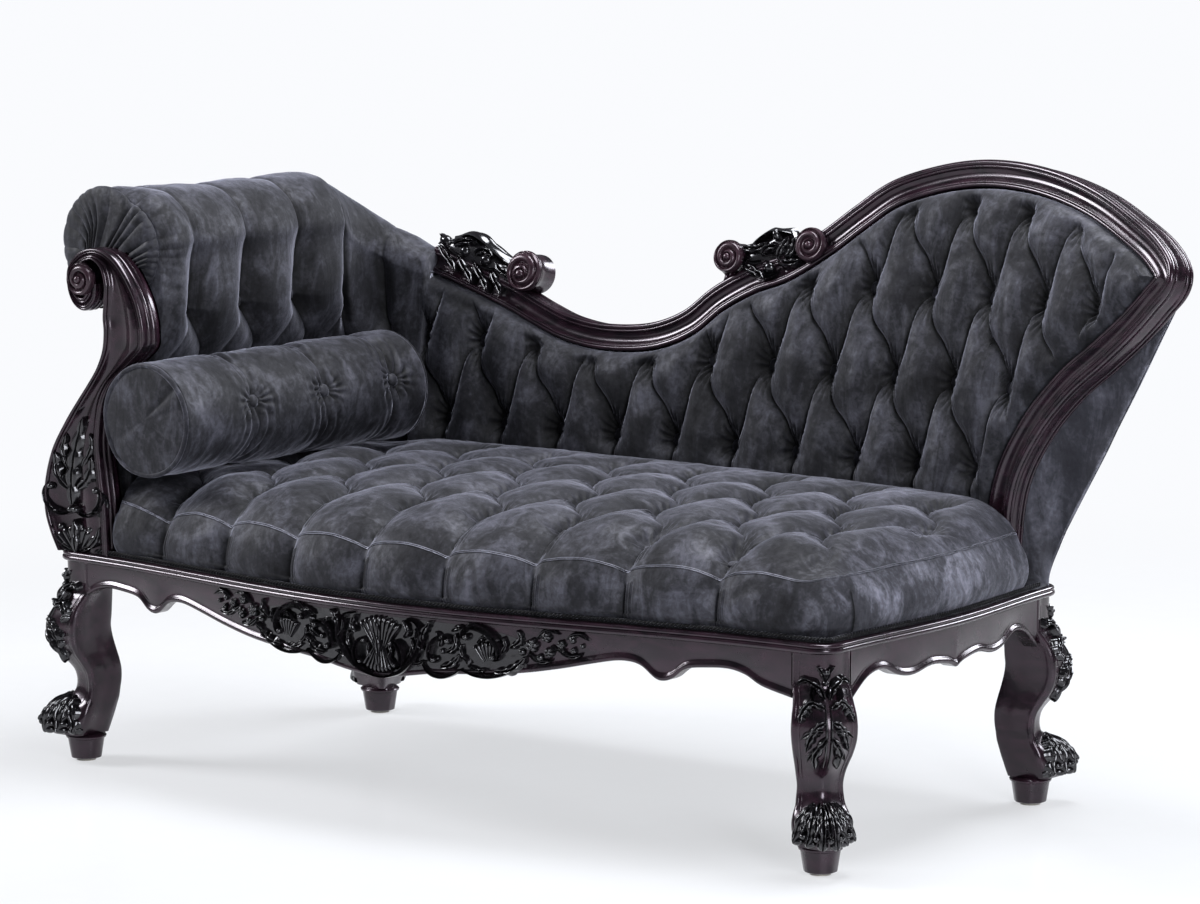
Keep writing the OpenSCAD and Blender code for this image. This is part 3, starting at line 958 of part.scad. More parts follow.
module seat_webbing() {
    color("#b79a6a") translate(origin) {
        for (u = spring_x_shares) let (x = u * hl, y0 = max(front_y(x - strap_w / 2),
            front_y(x + strap_w / 2)) + strap_end)
            translate([x - strap_w / 2, y0, strap_z]) cube([strap_w, hd - strap_end - y0, strap_t]);
        for (v = spring_y_shares) let (y = v * hd)
            translate([-hl + strap_end, y - strap_w / 2, strap_z + strap_t + wood_gap])
                cube([hl + side_x(y) - 2 * strap_end, strap_w, strap_t]);
    }
}
spring_z = strap_z + 2 * (strap_t + wood_gap);
spring_h = cap_z + cavity_h - sheet_t - 3 * wood_gap - spring_z;
spring_shares = [[0, 0], [1, 0], [1, 0.08], [0.66, 0.5], [1, 0.92], [1, 1], [0, 1]];
module seat_springs() {
    color("#8b8f94") translate(origin) for (u = spring_x_shares) for (v = spring_y_shares)
        translate([u * hl, v * hd, spring_z])
        rotate_extrude($fn = 32) polygon([for (s = spring_shares) [spring_r * s[0], spring_h * s[1]]]);
}
hessian_shares = [[-0.72, -0.74], [0.79, -0.74], [0.79, 0.5], [-0.72, 0.5]];
module spring_hessian() {
    color("#b08d57") translate(origin) translate([0, 0, cap_z + cavity_h - sheet_t - 2 * wood_gap])
        linear_extrude(sheet_t)
        polygon([for (s = hessian_shares) [s[0] * hl, s[1] * hd]]);
}
// Length of a corner block's arms and of a screw
block_arm = 44;
module corner_blocks() {
    g = wood_gap;
    a = rail_t + g;
    b = block_w + 2 * g;
    color("#c9ad82") translate(origin) for (k = [0 : 2]) difference() {
        translate([0, 0, batten_low + batten_w + g]) linear_extrude(rail_top - 2 * g - batten_low
            - batten_w - g)
            polygon([for (p = [[a, b], [b, b], [b, a], [b + block_arm, a], [a, b + block_arm]])
                [foot_turn[k][0] * (hl - p[0]), foot_turn[k][1] * (hd - p[1])]]);
        for (side = [-1, 1]) block_screw(k, side, wood_gap / 2);
    }
}
screw_l = 45;
module block_screw(k, side, room) {
    o = unit(foot_turn[k]);
    m = block_w * 0.95;
    c = [foot_turn[k][0] * (hl - m), foot_turn[k][1] * (hd - m)] + [-o[1], o[0]] * side * screw_r * 4;
    translate([c[0], c[1], rail_top - rail_t / 2]) rotate([0, 0, atan2(o[1], o[0])]) rotate([0, 90, 0])
        translate([0, 0, -screw_l * 0.6]) cylinder(screw_l, r = screw_r + room, $fn = 20);
}
module block_screws() {
    color("#8b8f94") translate(origin) for (k = [0 : 2]) for (side = [-1, 1]) block_screw(k, side, 0);
}
// Upright of the back frame at one place along the length, from the moulding to the wood above
stile_n = 8;
stile_shares = [-0.42, -0.03, 0.29, 0.46, 0.58];
function wood_low_at(x) = let (p = [for (i = [0 : tip_i - 1]) if (wood_line[i][0] <= x
    && wood_line[i + 1][0] > x)
    lerp(wood_pt(i, -band_w / 2, 0)[2], wood_pt(i + 1, -band_w / 2, 0)[2],
        (x - wood_line[i][0]) / (wood_line[i + 1][0] - wood_line[i][0]))]) p[0];
module stile(x) {
    top = min(wood_low_at(x - stile_w / 2), wood_low_at(x + stile_w / 2), wood_low_at(x)) - band_w * 0.25;
    color("#c9ad82") translate(origin) skin([for (i = [0 : stile_n]) let (z = lerp(cap_z + wood_gap, top,
        i / stile_n), y = back_y(x, z) + 6 * soft_gap)
        [[x - stile_w / 2, y, z], [x + stile_w / 2, y, z], [x + stile_w / 2, y + stile_t, z],
            [x - stile_w / 2, y + stile_t, z]]]);
}
module back_stiles() { for (s = stile_shares) stile(s * head_reach); }
// Rear post of the arm: a board cut to the hollow between the pad and the outside cover
// Thickness of the arm's rear post
rear_post_t = 28;
module arm_rear_post() {
    g = 4 * soft_gap;
    right = [for (s = arm_back_shares) [roll_r * s[0] + g, lerp(cap_z + soft_gap, roll_z, s[1])]];
    neck = [roll_z - roll_rail_r - wood_gap * 2, roll_r * 0.4, roll_r * 0.08];
    left = [for (j = [0 : 7]) [cover_h(arm_stations[2], 0, j) - cover_t - g, lerp(cap_z + soft_gap,
        roll_z, cover_shares[j][1])]];
    color("#c9ad82") translate(origin) translate([-roll_x, turn_y - soft_gap, 0]) rotate([90, 0, 0])
        linear_extrude(rear_post_t)
        polygon([for (p = concat(right, [[-neck[1], neck[0]], [neck[2], neck[0]]],
            [for (j = [7 : -1 : 0]) left[j]])) [-p[0], p[1]]]);
}
module arm_lower_rail() {
    x = -roll_x - roll_r * 0.8;
    y = post_y + post_t + wood_gap;
    color("#c9ad82") translate(origin) translate([x, y, cap_z + wood_gap])
        cube([roll_r * 0.4, turn_y - soft_gap - rear_post_t - wood_gap - y, roll_r * 0.5]);
}

// The origin is under the middle of the whole length and depth
reach_x = max([for (i = [crest_n : wood_n - 1]) for (s = band_shares) wood_pt(i, s[0] * band_w,
    s[1] * band_t)[0]]);
left_x = min(concat([for (p = smooth_path([for (s = post_shares) post_pt(s)], 2)) p[0]],
    [for (r = leaf_rows_near(0, foot_rows, foot_rise_shares)) for (p = r) p[0]]));
front_reach = min(concat([for (i = [0 : front_n]) plan_at(i, mould_out)[1]], [for (i = [0 : carving_n])
    for (j = [0 : carving_rows])
    let (u = 2 * i / carving_n - 1, v = j / carving_rows) carving_pt(u, v, wood_gap + carving_t
        * carving_rise(u, v))[1]]));
rear_reach = max([for (i = [0 : wood_n - 1]) wood_pt(i, 0.46 * band_w, -0.57 * band_t - soft_gap
    - cover_t)[1]]);
origin = [-(reach_x + left_x) / 2, -(front_reach + rear_reach) / 2, 0];
front_rail();
right_rail();
rear_rail();
left_rail();
seat_moulding();
leg_front_left();
leg_front_right();
leg_rear_right();
leg_rear_left();
leg_toes();
glides();
knee_carvings();
foot_carvings();
apron_carving();
arm_front_post();
arm_scroll();
arm_post_carving();
crest_rail();
head_band();
crest_volutes();
crest_carving_left();
crest_carving_right();
arm_pad();
arm_top_rail();
shoulder_rail();
outside_arm_cover();
back_pad();
outside_back_cover();
seat_pad();
bolster_pad();
bolster_piping();
roll_facing();
seat_buttons();
back_buttons();
arm_buttons();
bolster_buttons();
seat_gimp();
seat_battens();
dust_cover();
seat_webbing();
seat_springs();
spring_hessian();
corner_blocks();
block_screws();
back_stiles();
arm_rear_post();
arm_lower_rail();
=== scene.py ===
"""Looks of a fainting couch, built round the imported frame: carved black wood and tufted velvet."""
import math

import bmesh
import bpy
import numpy as np
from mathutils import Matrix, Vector


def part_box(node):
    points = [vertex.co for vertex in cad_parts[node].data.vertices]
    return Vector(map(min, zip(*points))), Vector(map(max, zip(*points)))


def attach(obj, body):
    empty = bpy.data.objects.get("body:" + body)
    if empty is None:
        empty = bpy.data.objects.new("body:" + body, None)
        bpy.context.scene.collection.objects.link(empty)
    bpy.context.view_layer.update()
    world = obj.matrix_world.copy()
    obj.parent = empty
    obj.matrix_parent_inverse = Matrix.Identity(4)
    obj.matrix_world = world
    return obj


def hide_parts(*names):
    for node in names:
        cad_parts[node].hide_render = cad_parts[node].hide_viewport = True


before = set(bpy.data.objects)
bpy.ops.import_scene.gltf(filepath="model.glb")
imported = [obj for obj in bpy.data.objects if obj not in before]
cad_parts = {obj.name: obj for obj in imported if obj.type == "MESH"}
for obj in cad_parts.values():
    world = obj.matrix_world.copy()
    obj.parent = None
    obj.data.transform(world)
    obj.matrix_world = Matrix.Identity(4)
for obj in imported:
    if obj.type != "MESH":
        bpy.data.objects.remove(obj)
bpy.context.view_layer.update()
MM = 0.001

# Sizes of the frame in millimetres, as the construction has them
HL, HD = 748.0, 330.0
FRONT_BOW, BOW_LEFT, SIDE_BOW = 89.0, 30.0, 20.0
RAIL_TOP, RAIL_T, RAIL_H, APRON_DROP, CORNER_R = 334.0, 26.0, 36.0, 66.0, 30.0
MOULD_H = 16.0
CAP_Z = RAIL_TOP + MOULD_H
BLOCK_W, FOOT_IN, REAR_LEG_IN, TOE_H = 62.0, 27.0, 142.0, 46.0
TOE_R, TOE_LOW_R, GLIDE_T = 32.0, 26.0, 4.0
ROLL_R, ROLL_Z, ROLL_X, TURN_R = 95.0, 845.0, 655.0, 120.0
SHOULDER_DEP, SHOULDER_Z, SHOULDER_R = 315.0, 760.0, 42.0
POST_W, POST_H, POST_T, POST_OUT, SCROLL_R = 218.0, 500.0, 45.0, 29.0, 40.0
LEAN_Z, BACK_DEP, HEAD_LEAN, HEAD_TURN = 500.0, 300.0, 106.0, 171.0
HEAD_TOP, HEAD_REACH, CREST_LOW, BAND_W, BAND_T, CREST_LEFT = 1004.0, 1037.0, 705.0, 44.0, 46.0, 485.0
COVER_T = 3.0
SEAT_EDGE_Z, SEAT_CROWN, SEAT_PITCH, SEAT_ROW, SEAT_TUFT = 484.0, 24.0, 152.0, 150.0, 33.0
BACK_PITCH, BACK_ROW, BACK_TUFT, BACK_PUFF = 117.0, 134.0, 37.0, 44.0
ARM_PITCH, ARM_TUFT = 137.0, 30.0
BOLSTER_LEN, BOLSTER_R, BOLSTER_TURN, BOLSTER_TUFT, PIPING_R = 600.0, 94.0, 3.0, 14.0, 4.0
SOFT_GAP, WOOD_GAP = 0.4, 0.3

# The construction is centred under its own box: one plain block inside the arm gives the shift
corner = np.array(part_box("arm_lower_rail")[0]) / MM
ORIGIN = corner - np.array([-ROLL_X - ROLL_R * 0.8, -HD - POST_OUT / 5 + POST_T + WOOD_GAP,
                            CAP_Z + WOOD_GAP])


def lerp(a, b, t):
    return a + (b - a) * t


def ease(t):
    t = np.clip(t, 0.0, 1.0)
    return t * t * (3 - 2 * t)


def hill(x, width):
    """1 where x is nought, and less on both sides, with little left at twice the width."""
    return np.exp(-(x / width) ** 2)


def around(n):
    """Angles once round, in n equal steps."""
    return np.linspace(0, 2 * math.pi, n, endpoint=False)


def unit(v):
    v = np.asarray(v, float)
    return v / np.maximum(np.linalg.norm(v, axis=-1, keepdims=True), 1e-12)


def spline(points, steps, loop=False):
    """A Catmull-Rom path through the points, with that many steps between each two."""
    p = np.asarray(points, float)
    n = len(p)
    last = n if loop else n - 1
    t = (np.arange(steps) / steps)[:, None]
    out = []
    for i in range(last):
        a, b, c, d = ((p[(i + k) % n] if loop else p[min(max(i + k, 0), n - 1)]) for k in (-1, 0, 1, 2))
        out.append(0.5 * (2 * b + (c - a) * t + (2 * a - 5 * b + 4 * c - d) * t ** 2
                          + (3 * b - a - 3 * c + d) * t ** 3))
    if not loop:
        out.append(p[-1:])
    return np.concatenate(out)


def even(path, n, loop=False):
    """The path again as n points, evenly spaced along it."""
    p = np.asarray(path, float)
    q = np.vstack([p, p[:1]]) if loop else p
    s = np.concatenate([[0], np.cumsum(np.linalg.norm(np.diff(q, axis=0), axis=1))])
    t = np.linspace(0, s[-1], n + 1 if loop else n)
    r = np.stack([np.interp(t, s, q[:, k]) for k in range(q.shape[1])], 1)
    return r[:-1] if loop else r


def table(rows, steps=6):
    """A smooth look-up of the first column against the rest."""
    r = spline(rows, steps)
    keep = np.concatenate([[True], np.diff(np.maximum.accumulate(r[:, 0])) > 1e-9])
    r = r[keep]
    return lambda u: (np.interp(u, r[:, 0], r[:, 1]) if r.shape[1] == 2
                      else np.stack([np.interp(u, r[:, 0], r[:, k]) for k in range(1, r.shape[1])], -1))


def waves(p, size, seed=0):
    """Smooth unevenness from sums of sines, about -1 to 1, with features of that size in millimetres."""
    r = np.random.default_rng(seed)
    total = np.zeros(p.shape[:-1])
    for k in range(9):
        d = unit(r.normal(size=3))
        f = 2 * math.pi / (size * r.uniform(0.6, 1.7))
        total += np.sin((p @ d) * f + r.uniform(0, 6.3)
                        + 1.3 * np.sin((p @ unit(r.normal(size=3))) * f * 0.6))
    return total / 4.5


class Shape:
    """Grids of points gathered into one mesh, in millimetres."""

    def __init__(self):
        self.v, self.f, self.n = [], [], 0

    def grid(self, p, wrap_u=False, wrap_v=False, flip=False):
        p = np.asarray(p, float)
        nu, nv = p.shape[:2]
        ids = np.arange(nu * nv).reshape(nu, nv) + self.n
        a = ids if wrap_u else ids[:-1]
        b = np.roll(ids, -1, 0) if wrap_u else ids[1:]
        if wrap_v:
            quads = np.stack([a, np.roll(a, -1, 1), np.roll(b, -1, 1), b], -1)
        else:
            quads = np.stack([a[:, :-1], a[:, 1:], b[:, 1:], b[:, :-1]], -1)
        quads = quads.reshape(-1, 4)
        if flip:
            quads = quads[:, ::-1]
        self.v.append(p.reshape(-1, 3))
        self.f += quads.tolist()
        self.n += nu * nv
        return ids

    def face(self, ids, flip=False):
        ids = [int(i) for i in ids]
        self.f.append(ids[::-1] if flip else ids)

    def tube(self, rings, flip=False, caps=True, loop=False):
        """Closed rings of points joined in turn, with flat ends."""
        ids = self.grid(rings, wrap_u=loop, wrap_v=True, flip=flip)
        if caps and not loop:
            self.face(ids[0], not flip)
            self.face(ids[-1], flip)
        return ids

    def plate(self, near, far, flip=False):
        """Two grids of the same size joined round their rim into one closed plate."""
        a, b = self.grid(near, flip=flip), self.grid(far, flip=not flip)
        ra = np.concatenate([a[:-1, 0], a[-1, :-1], a[:0:-1, -1], a[0, :0:-1]])
        rb = np.concatenate([b[:-1, 0], b[-1, :-1], b[:0:-1, -1], b[0, :0:-1]])
        for i in range(len(ra)):
            j = (i + 1) % len(ra)
            self.face([ra[i], ra[j], rb[j], rb[i]], flip)


def build(name, shape, mat, body="couch", nodes=(), sharp=None, level=0):
    """One piece from a shape: its mesh, finish, body and the solids it stands for."""
    v = (np.concatenate(shape.v) + ORIGIN) * MM
    mesh = bpy.data.meshes.new(name)
    mesh.from_pydata(v.tolist(), [], shape.f)
    mesh.update()
    mesh.polygons.foreach_set("use_smooth", [True] * len(mesh.polygons))
    if sharp:
        mesh.set_sharp_from_angle(angle=math.radians(sharp))
    ob = bpy.data.objects.new(name, mesh)
    bpy.context.scene.collection.objects.link(ob)
    mesh.materials.append(mat)
    if level:
        sub = ob.modifiers.new("smooth", "SUBSURF")
        sub.levels = sub.render_levels = level
    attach(ob, body)
    if nodes:
        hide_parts(*nodes)
    return ob


def paint(mat, *names):
    """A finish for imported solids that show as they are."""
    for name in names:
        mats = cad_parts[name].data.materials
        mats.clear()
        mats.append(mat)


def arc(cx, cy, r, a0, a1, n):
    a = np.radians(np.linspace(a0, a1, n))
    return np.stack([cx + r * np.cos(a), cy + r * np.sin(a)], 1)


# Finishes
def finish(name, **sockets):
    mat = bpy.data.materials.new(name)
    mat.use_nodes = True
    nt = mat.node_tree
    bsdf = nt.nodes["Principled BSDF"]
    for k, v in sockets.items():
        bsdf.inputs[k.replace("_", " ")].default_value = v
    return mat, nt, bsdf


def node(nt, kind, inputs=None, **props):
    n = nt.nodes.new("ShaderNode" + kind)
    for k, v in props.items():
        setattr(n, k, v)
    for k, v in (inputs or {}).items():
        if isinstance(v, bpy.types.NodeSocket):
            nt.links.new(v, n.inputs[k])
        else:
            n.inputs[k].default_value = v
    return n


def spread(nt, value, low=0.0, high=1.0, to_low=0.0, to_high=1.0, **props):
    """The value moved from one range to another, kept within it."""
    return node(nt, "MapRange", {"Value": value, "From Min": low, "From Max": high, "To Min": to_low,
                                 "To Max": to_high}, **props).outputs[0]


def maths(nt, operation, *values):
    return node(nt, "Math", dict(enumerate(values)), operation=operation).outputs[0]


def ramp(nt, fac, stops):
    n = node(nt, "ValToRGB", {"Fac": fac})
    els = n.color_ramp.elements
    while len(els) < len(stops):
        els.new(0.5)
    for e, (p, c) in zip(els, stops):
        e.position = p
        e.color = (*c, 1) if len(c) == 3 else c
    return n.outputs["Color"]


def place(nt):
    return node(nt, "TexCoord").outputs["Object"]


def noise(nt, vec, scale, detail=4.0, rough=0.55, distort=0.0):
    n = node(nt, "TexNoise", {"Vector": vec, "Scale": scale, "Detail": detail, "Roughness": rough,
                                         "Distortion": distort})
    return n.outputs["Fac"]


def bump(nt, bsdf, layers):
    """Bumps in turn, each (height, strength, distance in metres)."""
    normal = None
    for height, strength, distance in layers:
        b = node(nt, "Bump", {"Height": height, "Strength": strength, "Distance": distance})
        if normal is not None:
            nt.links.new(normal, b.inputs["Normal"])
        normal = b.outputs["Normal"]
    nt.links.new(normal, bsdf.inputs["Normal"])


def mixed(nt, fac, a, b):
    n = node(nt, "Mix", data_type="RGBA")
    nt.links.new(fac, n.inputs[0])
    for k, v in ((6, a), (7, b)):
        if isinstance(v, bpy.types.NodeSocket):
            nt.links.new(v, n.inputs[k])
        else:
            n.inputs[k].default_value = (*v, 1)
    return n.outputs[2]


def velvet(name, dark, light, tint, scale=1.0, painted_side_light=0.0):
    """Crushed velvet: cloudy patches and streaks where the pile lies the other way, and a fine pile; over
    these, painted shade in creases and hollows, painted highlight along ridges and painted light on faces
    turned towards +X.
    """
    mat, nt, bsdf = finish(name, Roughness=0.62, Specular_IOR_Level=0.2, Sheen_Weight=0.6,
                           Sheen_Roughness=0.3, Sheen_Tint=(*tint, 1))
    vec = place(nt)
    cloud = noise(nt, vec, 8.0 * scale, 4.0, 0.55, 1.2)
    drawn = node(nt, "Mapping", {"Vector": vec, "Scale": (1.0, 1.0, 0.35)}).outputs[0]
    streak = noise(nt, drawn, 26.0 * scale, 4.0, 0.6, 1.8)
    fine = noise(nt, vec, 120.0 * scale, 2.0, 0.6, 0.6)
    total = maths(nt, "MULTIPLY_ADD", fine, 0.4, cloud)
    total = maths(nt, "MULTIPLY_ADD", streak, 0.8, total)
    patch = spread(nt, total, 0.80, 1.42)
    dark, light = np.array(dark), np.array(light)
    col = ramp(nt, patch, [(0.0, tuple(dark)), (0.42, tuple(lerp(dark, light, 0.2))),
                           (0.72, tuple(lerp(dark, light, 0.75))), (1.0, tuple(light * 1.45))])
    # Painted shade and highlight: by the mesh's pointiness, the colour is darkened in the creases and
    # lightened along the ridges
    ridge = node(nt, "NewGeometry").outputs["Pointiness"]
    shade = ramp(nt, spread(nt, ridge, 0.44, 0.56), [(0.0, (0.25, 0.25, 0.25)), (0.42, (0.85, 0.85, 0.85)),
                                                     (0.58, (1.0, 1.0, 1.0)), (1.0, (1.16, 1.16, 1.16))])
    crease_ridge_painted = node(nt, "Mix", data_type="RGBA", blend_type="MULTIPLY")
    crease_ridge_painted.inputs[0].default_value = 1.0
    nt.links.new(col, crease_ridge_painted.inputs[6])
    nt.links.new(shade, crease_ridge_painted.inputs[7])
    # Painted shade: ambient occlusion darkens the colour in the hollows between the full folds. Painted
    # light: faces turned towards +X get a lighter colour, by the last argument
    hollow = node(nt, "AmbientOcclusion", {"Distance": 0.07}, samples=4, only_local=True).outputs["AO"]
    kept = spread(nt, hollow, 0.45, 0.97, 0.10, 1.12)
    facing = node(nt, "SeparateXYZ", {0: node(nt, "NewGeometry").outputs["Normal"]}).outputs[0]
    painted_side_gain = spread(nt, facing, 0.35, 0.95, 1.0, 1.0 + painted_side_light)
    total_shade = maths(nt, "MULTIPLY", kept, painted_side_gain)
    deep = node(nt, "VectorMath", {0: crease_ridge_painted.outputs[2], 3: total_shade}, operation="SCALE").outputs[0]
    nt.links.new(deep, bsdf.inputs["Base Color"])
    nt.links.new(spread(nt, patch, 0.0, 1.0, 0.8, 0.46), bsdf.inputs["Roughness"])
    pile = noise(nt, vec, 1500.0, 2.0, 0.7)
    bump(nt, bsdf, [(cloud, 0.35, 0.006), (streak, 0.25, 0.0035), (pile, 0.3, 0.0005)])
    return mat


def black_wood(name, base, glow, rough, coat, wear, tint):
    """Ebonised mahogany: near black, red-brown streaks along the grain, polished, rubbed on its edges."""
    mat, nt, bsdf = finish(name, Roughness=rough, Specular_IOR_Level=0.5, Coat_Weight=coat,
                           Coat_Roughness=0.07, Specular_Tint=(*tint, 1))
    vec = place(nt)
    stretched = node(nt, "Mapping", {"Vector": vec, "Scale": (3.0, 9.0, 9.0)}).outputs[0]
    streak = noise(nt, stretched, 6.0, 6.0, 0.6, 0.8)
    grain = noise(nt, stretched, 60.0, 4.0, 0.6, 0.3)
    dust = noise(nt, vec, 18.0, 5.0, 0.6)
    edge = node(nt, "NewGeometry").outputs["Pointiness"]
    col = mixed(nt, spread(nt, streak, 0.38, 0.7), base, glow)
    worn = maths(nt, "MULTIPLY", spread(nt, edge, 0.52, 0.60), wear)
    col = mixed(nt, worn, col, tuple(np.array(glow) * 2.2))
    nt.links.new(col, bsdf.inputs["Base Color"])
    nt.links.new(spread(nt, dust, 0.3, 0.75, rough * 0.8, rough * 1.6), bsdf.inputs["Roughness"])
    bump(nt, bsdf, [(grain, 0.06, 0.0006), (dust, 0.05, 0.002)])
    return mat


# The first velvet is the cloth's own colour. The outside-cover and seat velvets below are lighter copies of
# it, with painted light, and their last argument adds painted light on faces turned towards +X
VELVET = velvet("crushed_velvet", (0.0056, 0.0056, 0.0070), (0.050, 0.050, 0.063), (0.66, 0.67, 0.82))
SHELL_VELVET_LIT = velvet("shell_velvet_lit", (0.030, 0.030, 0.037), (0.120, 0.120, 0.148), (0.70, 0.71, 0.86), 0.8,
                      1.0)
SEAT_VELVET_LIT = velvet("seat_velvet_lit", (0.0062, 0.0062, 0.0078), (0.058, 0.058, 0.073), (0.66, 0.67, 0.82),
                     1.0, 1.3)
WOOD = black_wood("ebonised_mahogany", (0.0034, 0.0022, 0.0034), (0.024, 0.0100, 0.0170), 0.21, 0.24, 0.35,
                  (0.88, 0.76, 0.88))
SCROLL = black_wood("rubbed_mahogany", (0.014, 0.0070, 0.0105), (0.038, 0.0180, 0.0260), 0.26, 0.12, 0.6,
                    (0.9, 0.76, 0.86))
CARVED = black_wood("black_carving", (0.0028, 0.0027, 0.0032), (0.0065, 0.0050, 0.0064), 0.15, 0.45, 0.25,
                    (0.88, 0.88, 0.95))


# Seat frame
def bell(u):
    return 0.5 + 0.5 * np.cos(math.pi * np.minimum(1, np.abs(u)))


def front_y(x):
    return -HD - FRONT_BOW * bell((x + BOW_LEFT) / HL)


def side_x(y):
    return HL + SIDE_BOW * bell(y / HD)


TURN_X, TURN_Y = -(ROLL_X - TURN_R), SHOULDER_DEP - TURN_R
TURN_A, TURN_B = HL + TURN_X, HD - TURN_Y


def plan_path():
    def corner_arc(cx, cy, a0, a1, rx=CORNER_R, ry=CORNER_R, n=16):
        a = np.radians(np.linspace(a0, a1, n)[1:-1])
        return np.stack([cx + rx * np.cos(a), cy + ry * np.sin(a)], 1)
    x = np.linspace(-HL + CORNER_R, HL - CORNER_R, 160)
    y = np.linspace(-HD + CORNER_R, HD - CORNER_R, 60)
    parts = [np.stack([x, front_y(x)], 1), corner_arc(HL - CORNER_R, -HD + CORNER_R, -90, 0),
             np.stack([side_x(y), y], 1), corner_arc(HL - CORNER_R, HD - CORNER_R, 0, 90),
             np.array([[HL - CORNER_R, HD], [TURN_X, HD]]),
             corner_arc(TURN_X, TURN_Y, 90, 180, TURN_A, TURN_B, 40),
             np.array([[-HL, TURN_Y], [-HL, -HD + CORNER_R]]),
             corner_arc(-HL + CORNER_R, -HD + CORNER_R, 180, 270)]
    p = even(np.concatenate(parts), 900, loop=True)
    t = unit(np.roll(p, -1, 0) - np.roll(p, 1, 0))
    return p, np.stack([t[:, 1], -t[:, 0]], 1)


PLAN, PLAN_OUT = plan_path()
UP = np.array([0.0, 0, 1])


def plan_sweep(shape, profile, pick=None, lift=0.0):
    """A section given as (out from the rails, height) carried round the seat frame, or over part of it."""
    pick = np.arange(len(PLAN)) if pick is None else pick
    prof = np.asarray(profile, float)
    xy = PLAN[pick][:, None, :] + prof[None, :, 0:1] * PLAN_OUT[pick][:, None, :]
    z = np.broadcast_to(prof[None, :, 1:2] + lift, xy.shape[:2] + (1,))
    shape.tube(np.concatenate([xy, z], -1), loop=len(pick) == len(PLAN), flip=True)


APRON = table([[0, 1], [0.08, 0.90], [0.16, 0.76], [0.27, 0.66], [0.37, 0.54], [0.46, 0.36], [0.54, 0.16],
               [0.60, 0.04], [0.645, 0.10], [0.68, 0.38], [0.70, 0.42], [0.72, 0.34], [0.75, 0.10],
               [0.80, 0.02], [0.85, 0], [0.89, 0.10], [0.93, 0.32], [1, 0.5]], 4)
SIDE_APRON = table([[0, 0.42], [0.08, 0.30], [0.25, 0.22], [0.42, 0.34], [0.55, 0.28], [0.7, 0.05],
                    [0.85, 0.16], [1, 0.6]], 4)


def apron_z(x):
    return RAIL_TOP - RAIL_H - APRON_DROP * APRON(np.abs(x + BOW_LEFT) / (HL + BOW_LEFT - BLOCK_W))


def side_apron_z(y):
    return RAIL_TOP - RAIL_H - APRON_DROP * SIDE_APRON(np.abs(y) / (HD - BLOCK_W))


def rail(name, node_name, xy, out, low):
    """A rail with a bead and a hollow along its shaped lower edge."""
    shape = Shape()
    top = RAIL_TOP - WOOD_GAP
    edge = np.concatenate([arc(-2.2, 4.6, 4.6, -110, 62, 12), arc(1.2, 13, 3.2, 235, 180, 5)])
    rings = []
    for p, o, z in zip(xy, out, low):
        q = [[-RAIL_T, top], [-RAIL_T, z + 2], [-RAIL_T + 3, z], *[[a, z + b] for a, b in edge],
             [-1.6, z + 17], [0, z + 21], [0, top]]
        rings.append([[p[0] + a * o[0], p[1] + a * o[1], b] for a, b in q])
    shape.tube(rings)
    return build(name, shape, WOOD, nodes=[node_name], sharp=38)


def rails():
    """The four rails and the beaded moulding that caps them."""
    e = HL - BLOCK_W - WOOD_GAP
    x = np.linspace(-e, e, 420)
    rail("front_rail_moulded", "front_rail", np.stack([x, front_y(x)], 1),
         np.tile([[0, -1.0]], (len(x), 1)), apron_z(x))
    e = HD - BLOCK_W - WOOD_GAP
    y = np.linspace(-e, e, 180)
    rail("right_rail_moulded", "right_rail", np.stack([side_x(y), y], 1), np.tile([[1.0, 0]], (len(y), 1)),
         side_apron_z(y))
    shape = Shape()
    double = np.concatenate([[[-RAIL_T, 0], [-RAIL_T, MOULD_H], [1.0, MOULD_H]],
                             arc(4.4, MOULD_H - 3.4, 3.4, 90, -70, 10), arc(4.4, 5.6, 4.6, 62, -78, 12),
                             [[2.2, 0]]])
    plan_sweep(shape, double[::-1], lift=RAIL_TOP)
    build("seat_moulding_beads", shape, WOOD, nodes=["seat_moulding"], sharp=38)
    paint(WOOD, "rear_rail", "left_rail")


# Legs
LEG_ROWS = np.array([
    [0, 0.81, -0.65, 0.61, 0.24], [0.035, 0.94, -0.71, 0.68, 0.19], [0.073, 1.02, -0.77, 0.73, 0.13],
    [0.118, 0.97, -0.84, 0.73, 0.06], [0.163, 0.76, -0.90, 0.68, 0], [0.201, 0.44, -0.95, 0.61, -0.08],
    [0.247, 0.24, -0.98, 0.58, -0.13], [0.306, 0.19, -1.02, 0.56, -0.13], [0.368, 0.26, -1.02, 0.60, -0.08],
    [0.427, 0.48, -0.97, 0.66, 0.06], [0.483, 0.69, -0.90, 0.73, 0.21], [0.549, 0.85, -0.82, 0.79, 0.31],
    [0.615, 0.90, -0.77, 0.81, 0.32], [0.677, 0.84, -0.79, 0.79, 0.29], [0.740, 0.68, -0.80, 0.74, 0.19],
    [0.795, 0.53, -0.80, 0.71, 0.03], [0.847, 0.39, -0.80, 0.70, -0.09], [1, 0.39, -0.80, 0.70, -0.09]])
LEG_AT = table(LEG_ROWS, 6)
LEG_H = RAIL_TOP - WOOD_GAP - TOE_H
FEET = np.array([[-HL + FOOT_IN, -HD + FOOT_IN], [HL - FOOT_IN, -HD + FOOT_IN],
                 [HL - FOOT_IN, HD - FOOT_IN], [-HL + FOOT_IN + REAR_LEG_IN, HD - FOOT_IN - FOOT_IN / 7]])
FOOT_TURN = unit([[-1, -1], [1, -1], [1, 1], [-1, 1]])
LEG_NAMES = ["front_left", "front_right", "rear_right", "rear_left"]
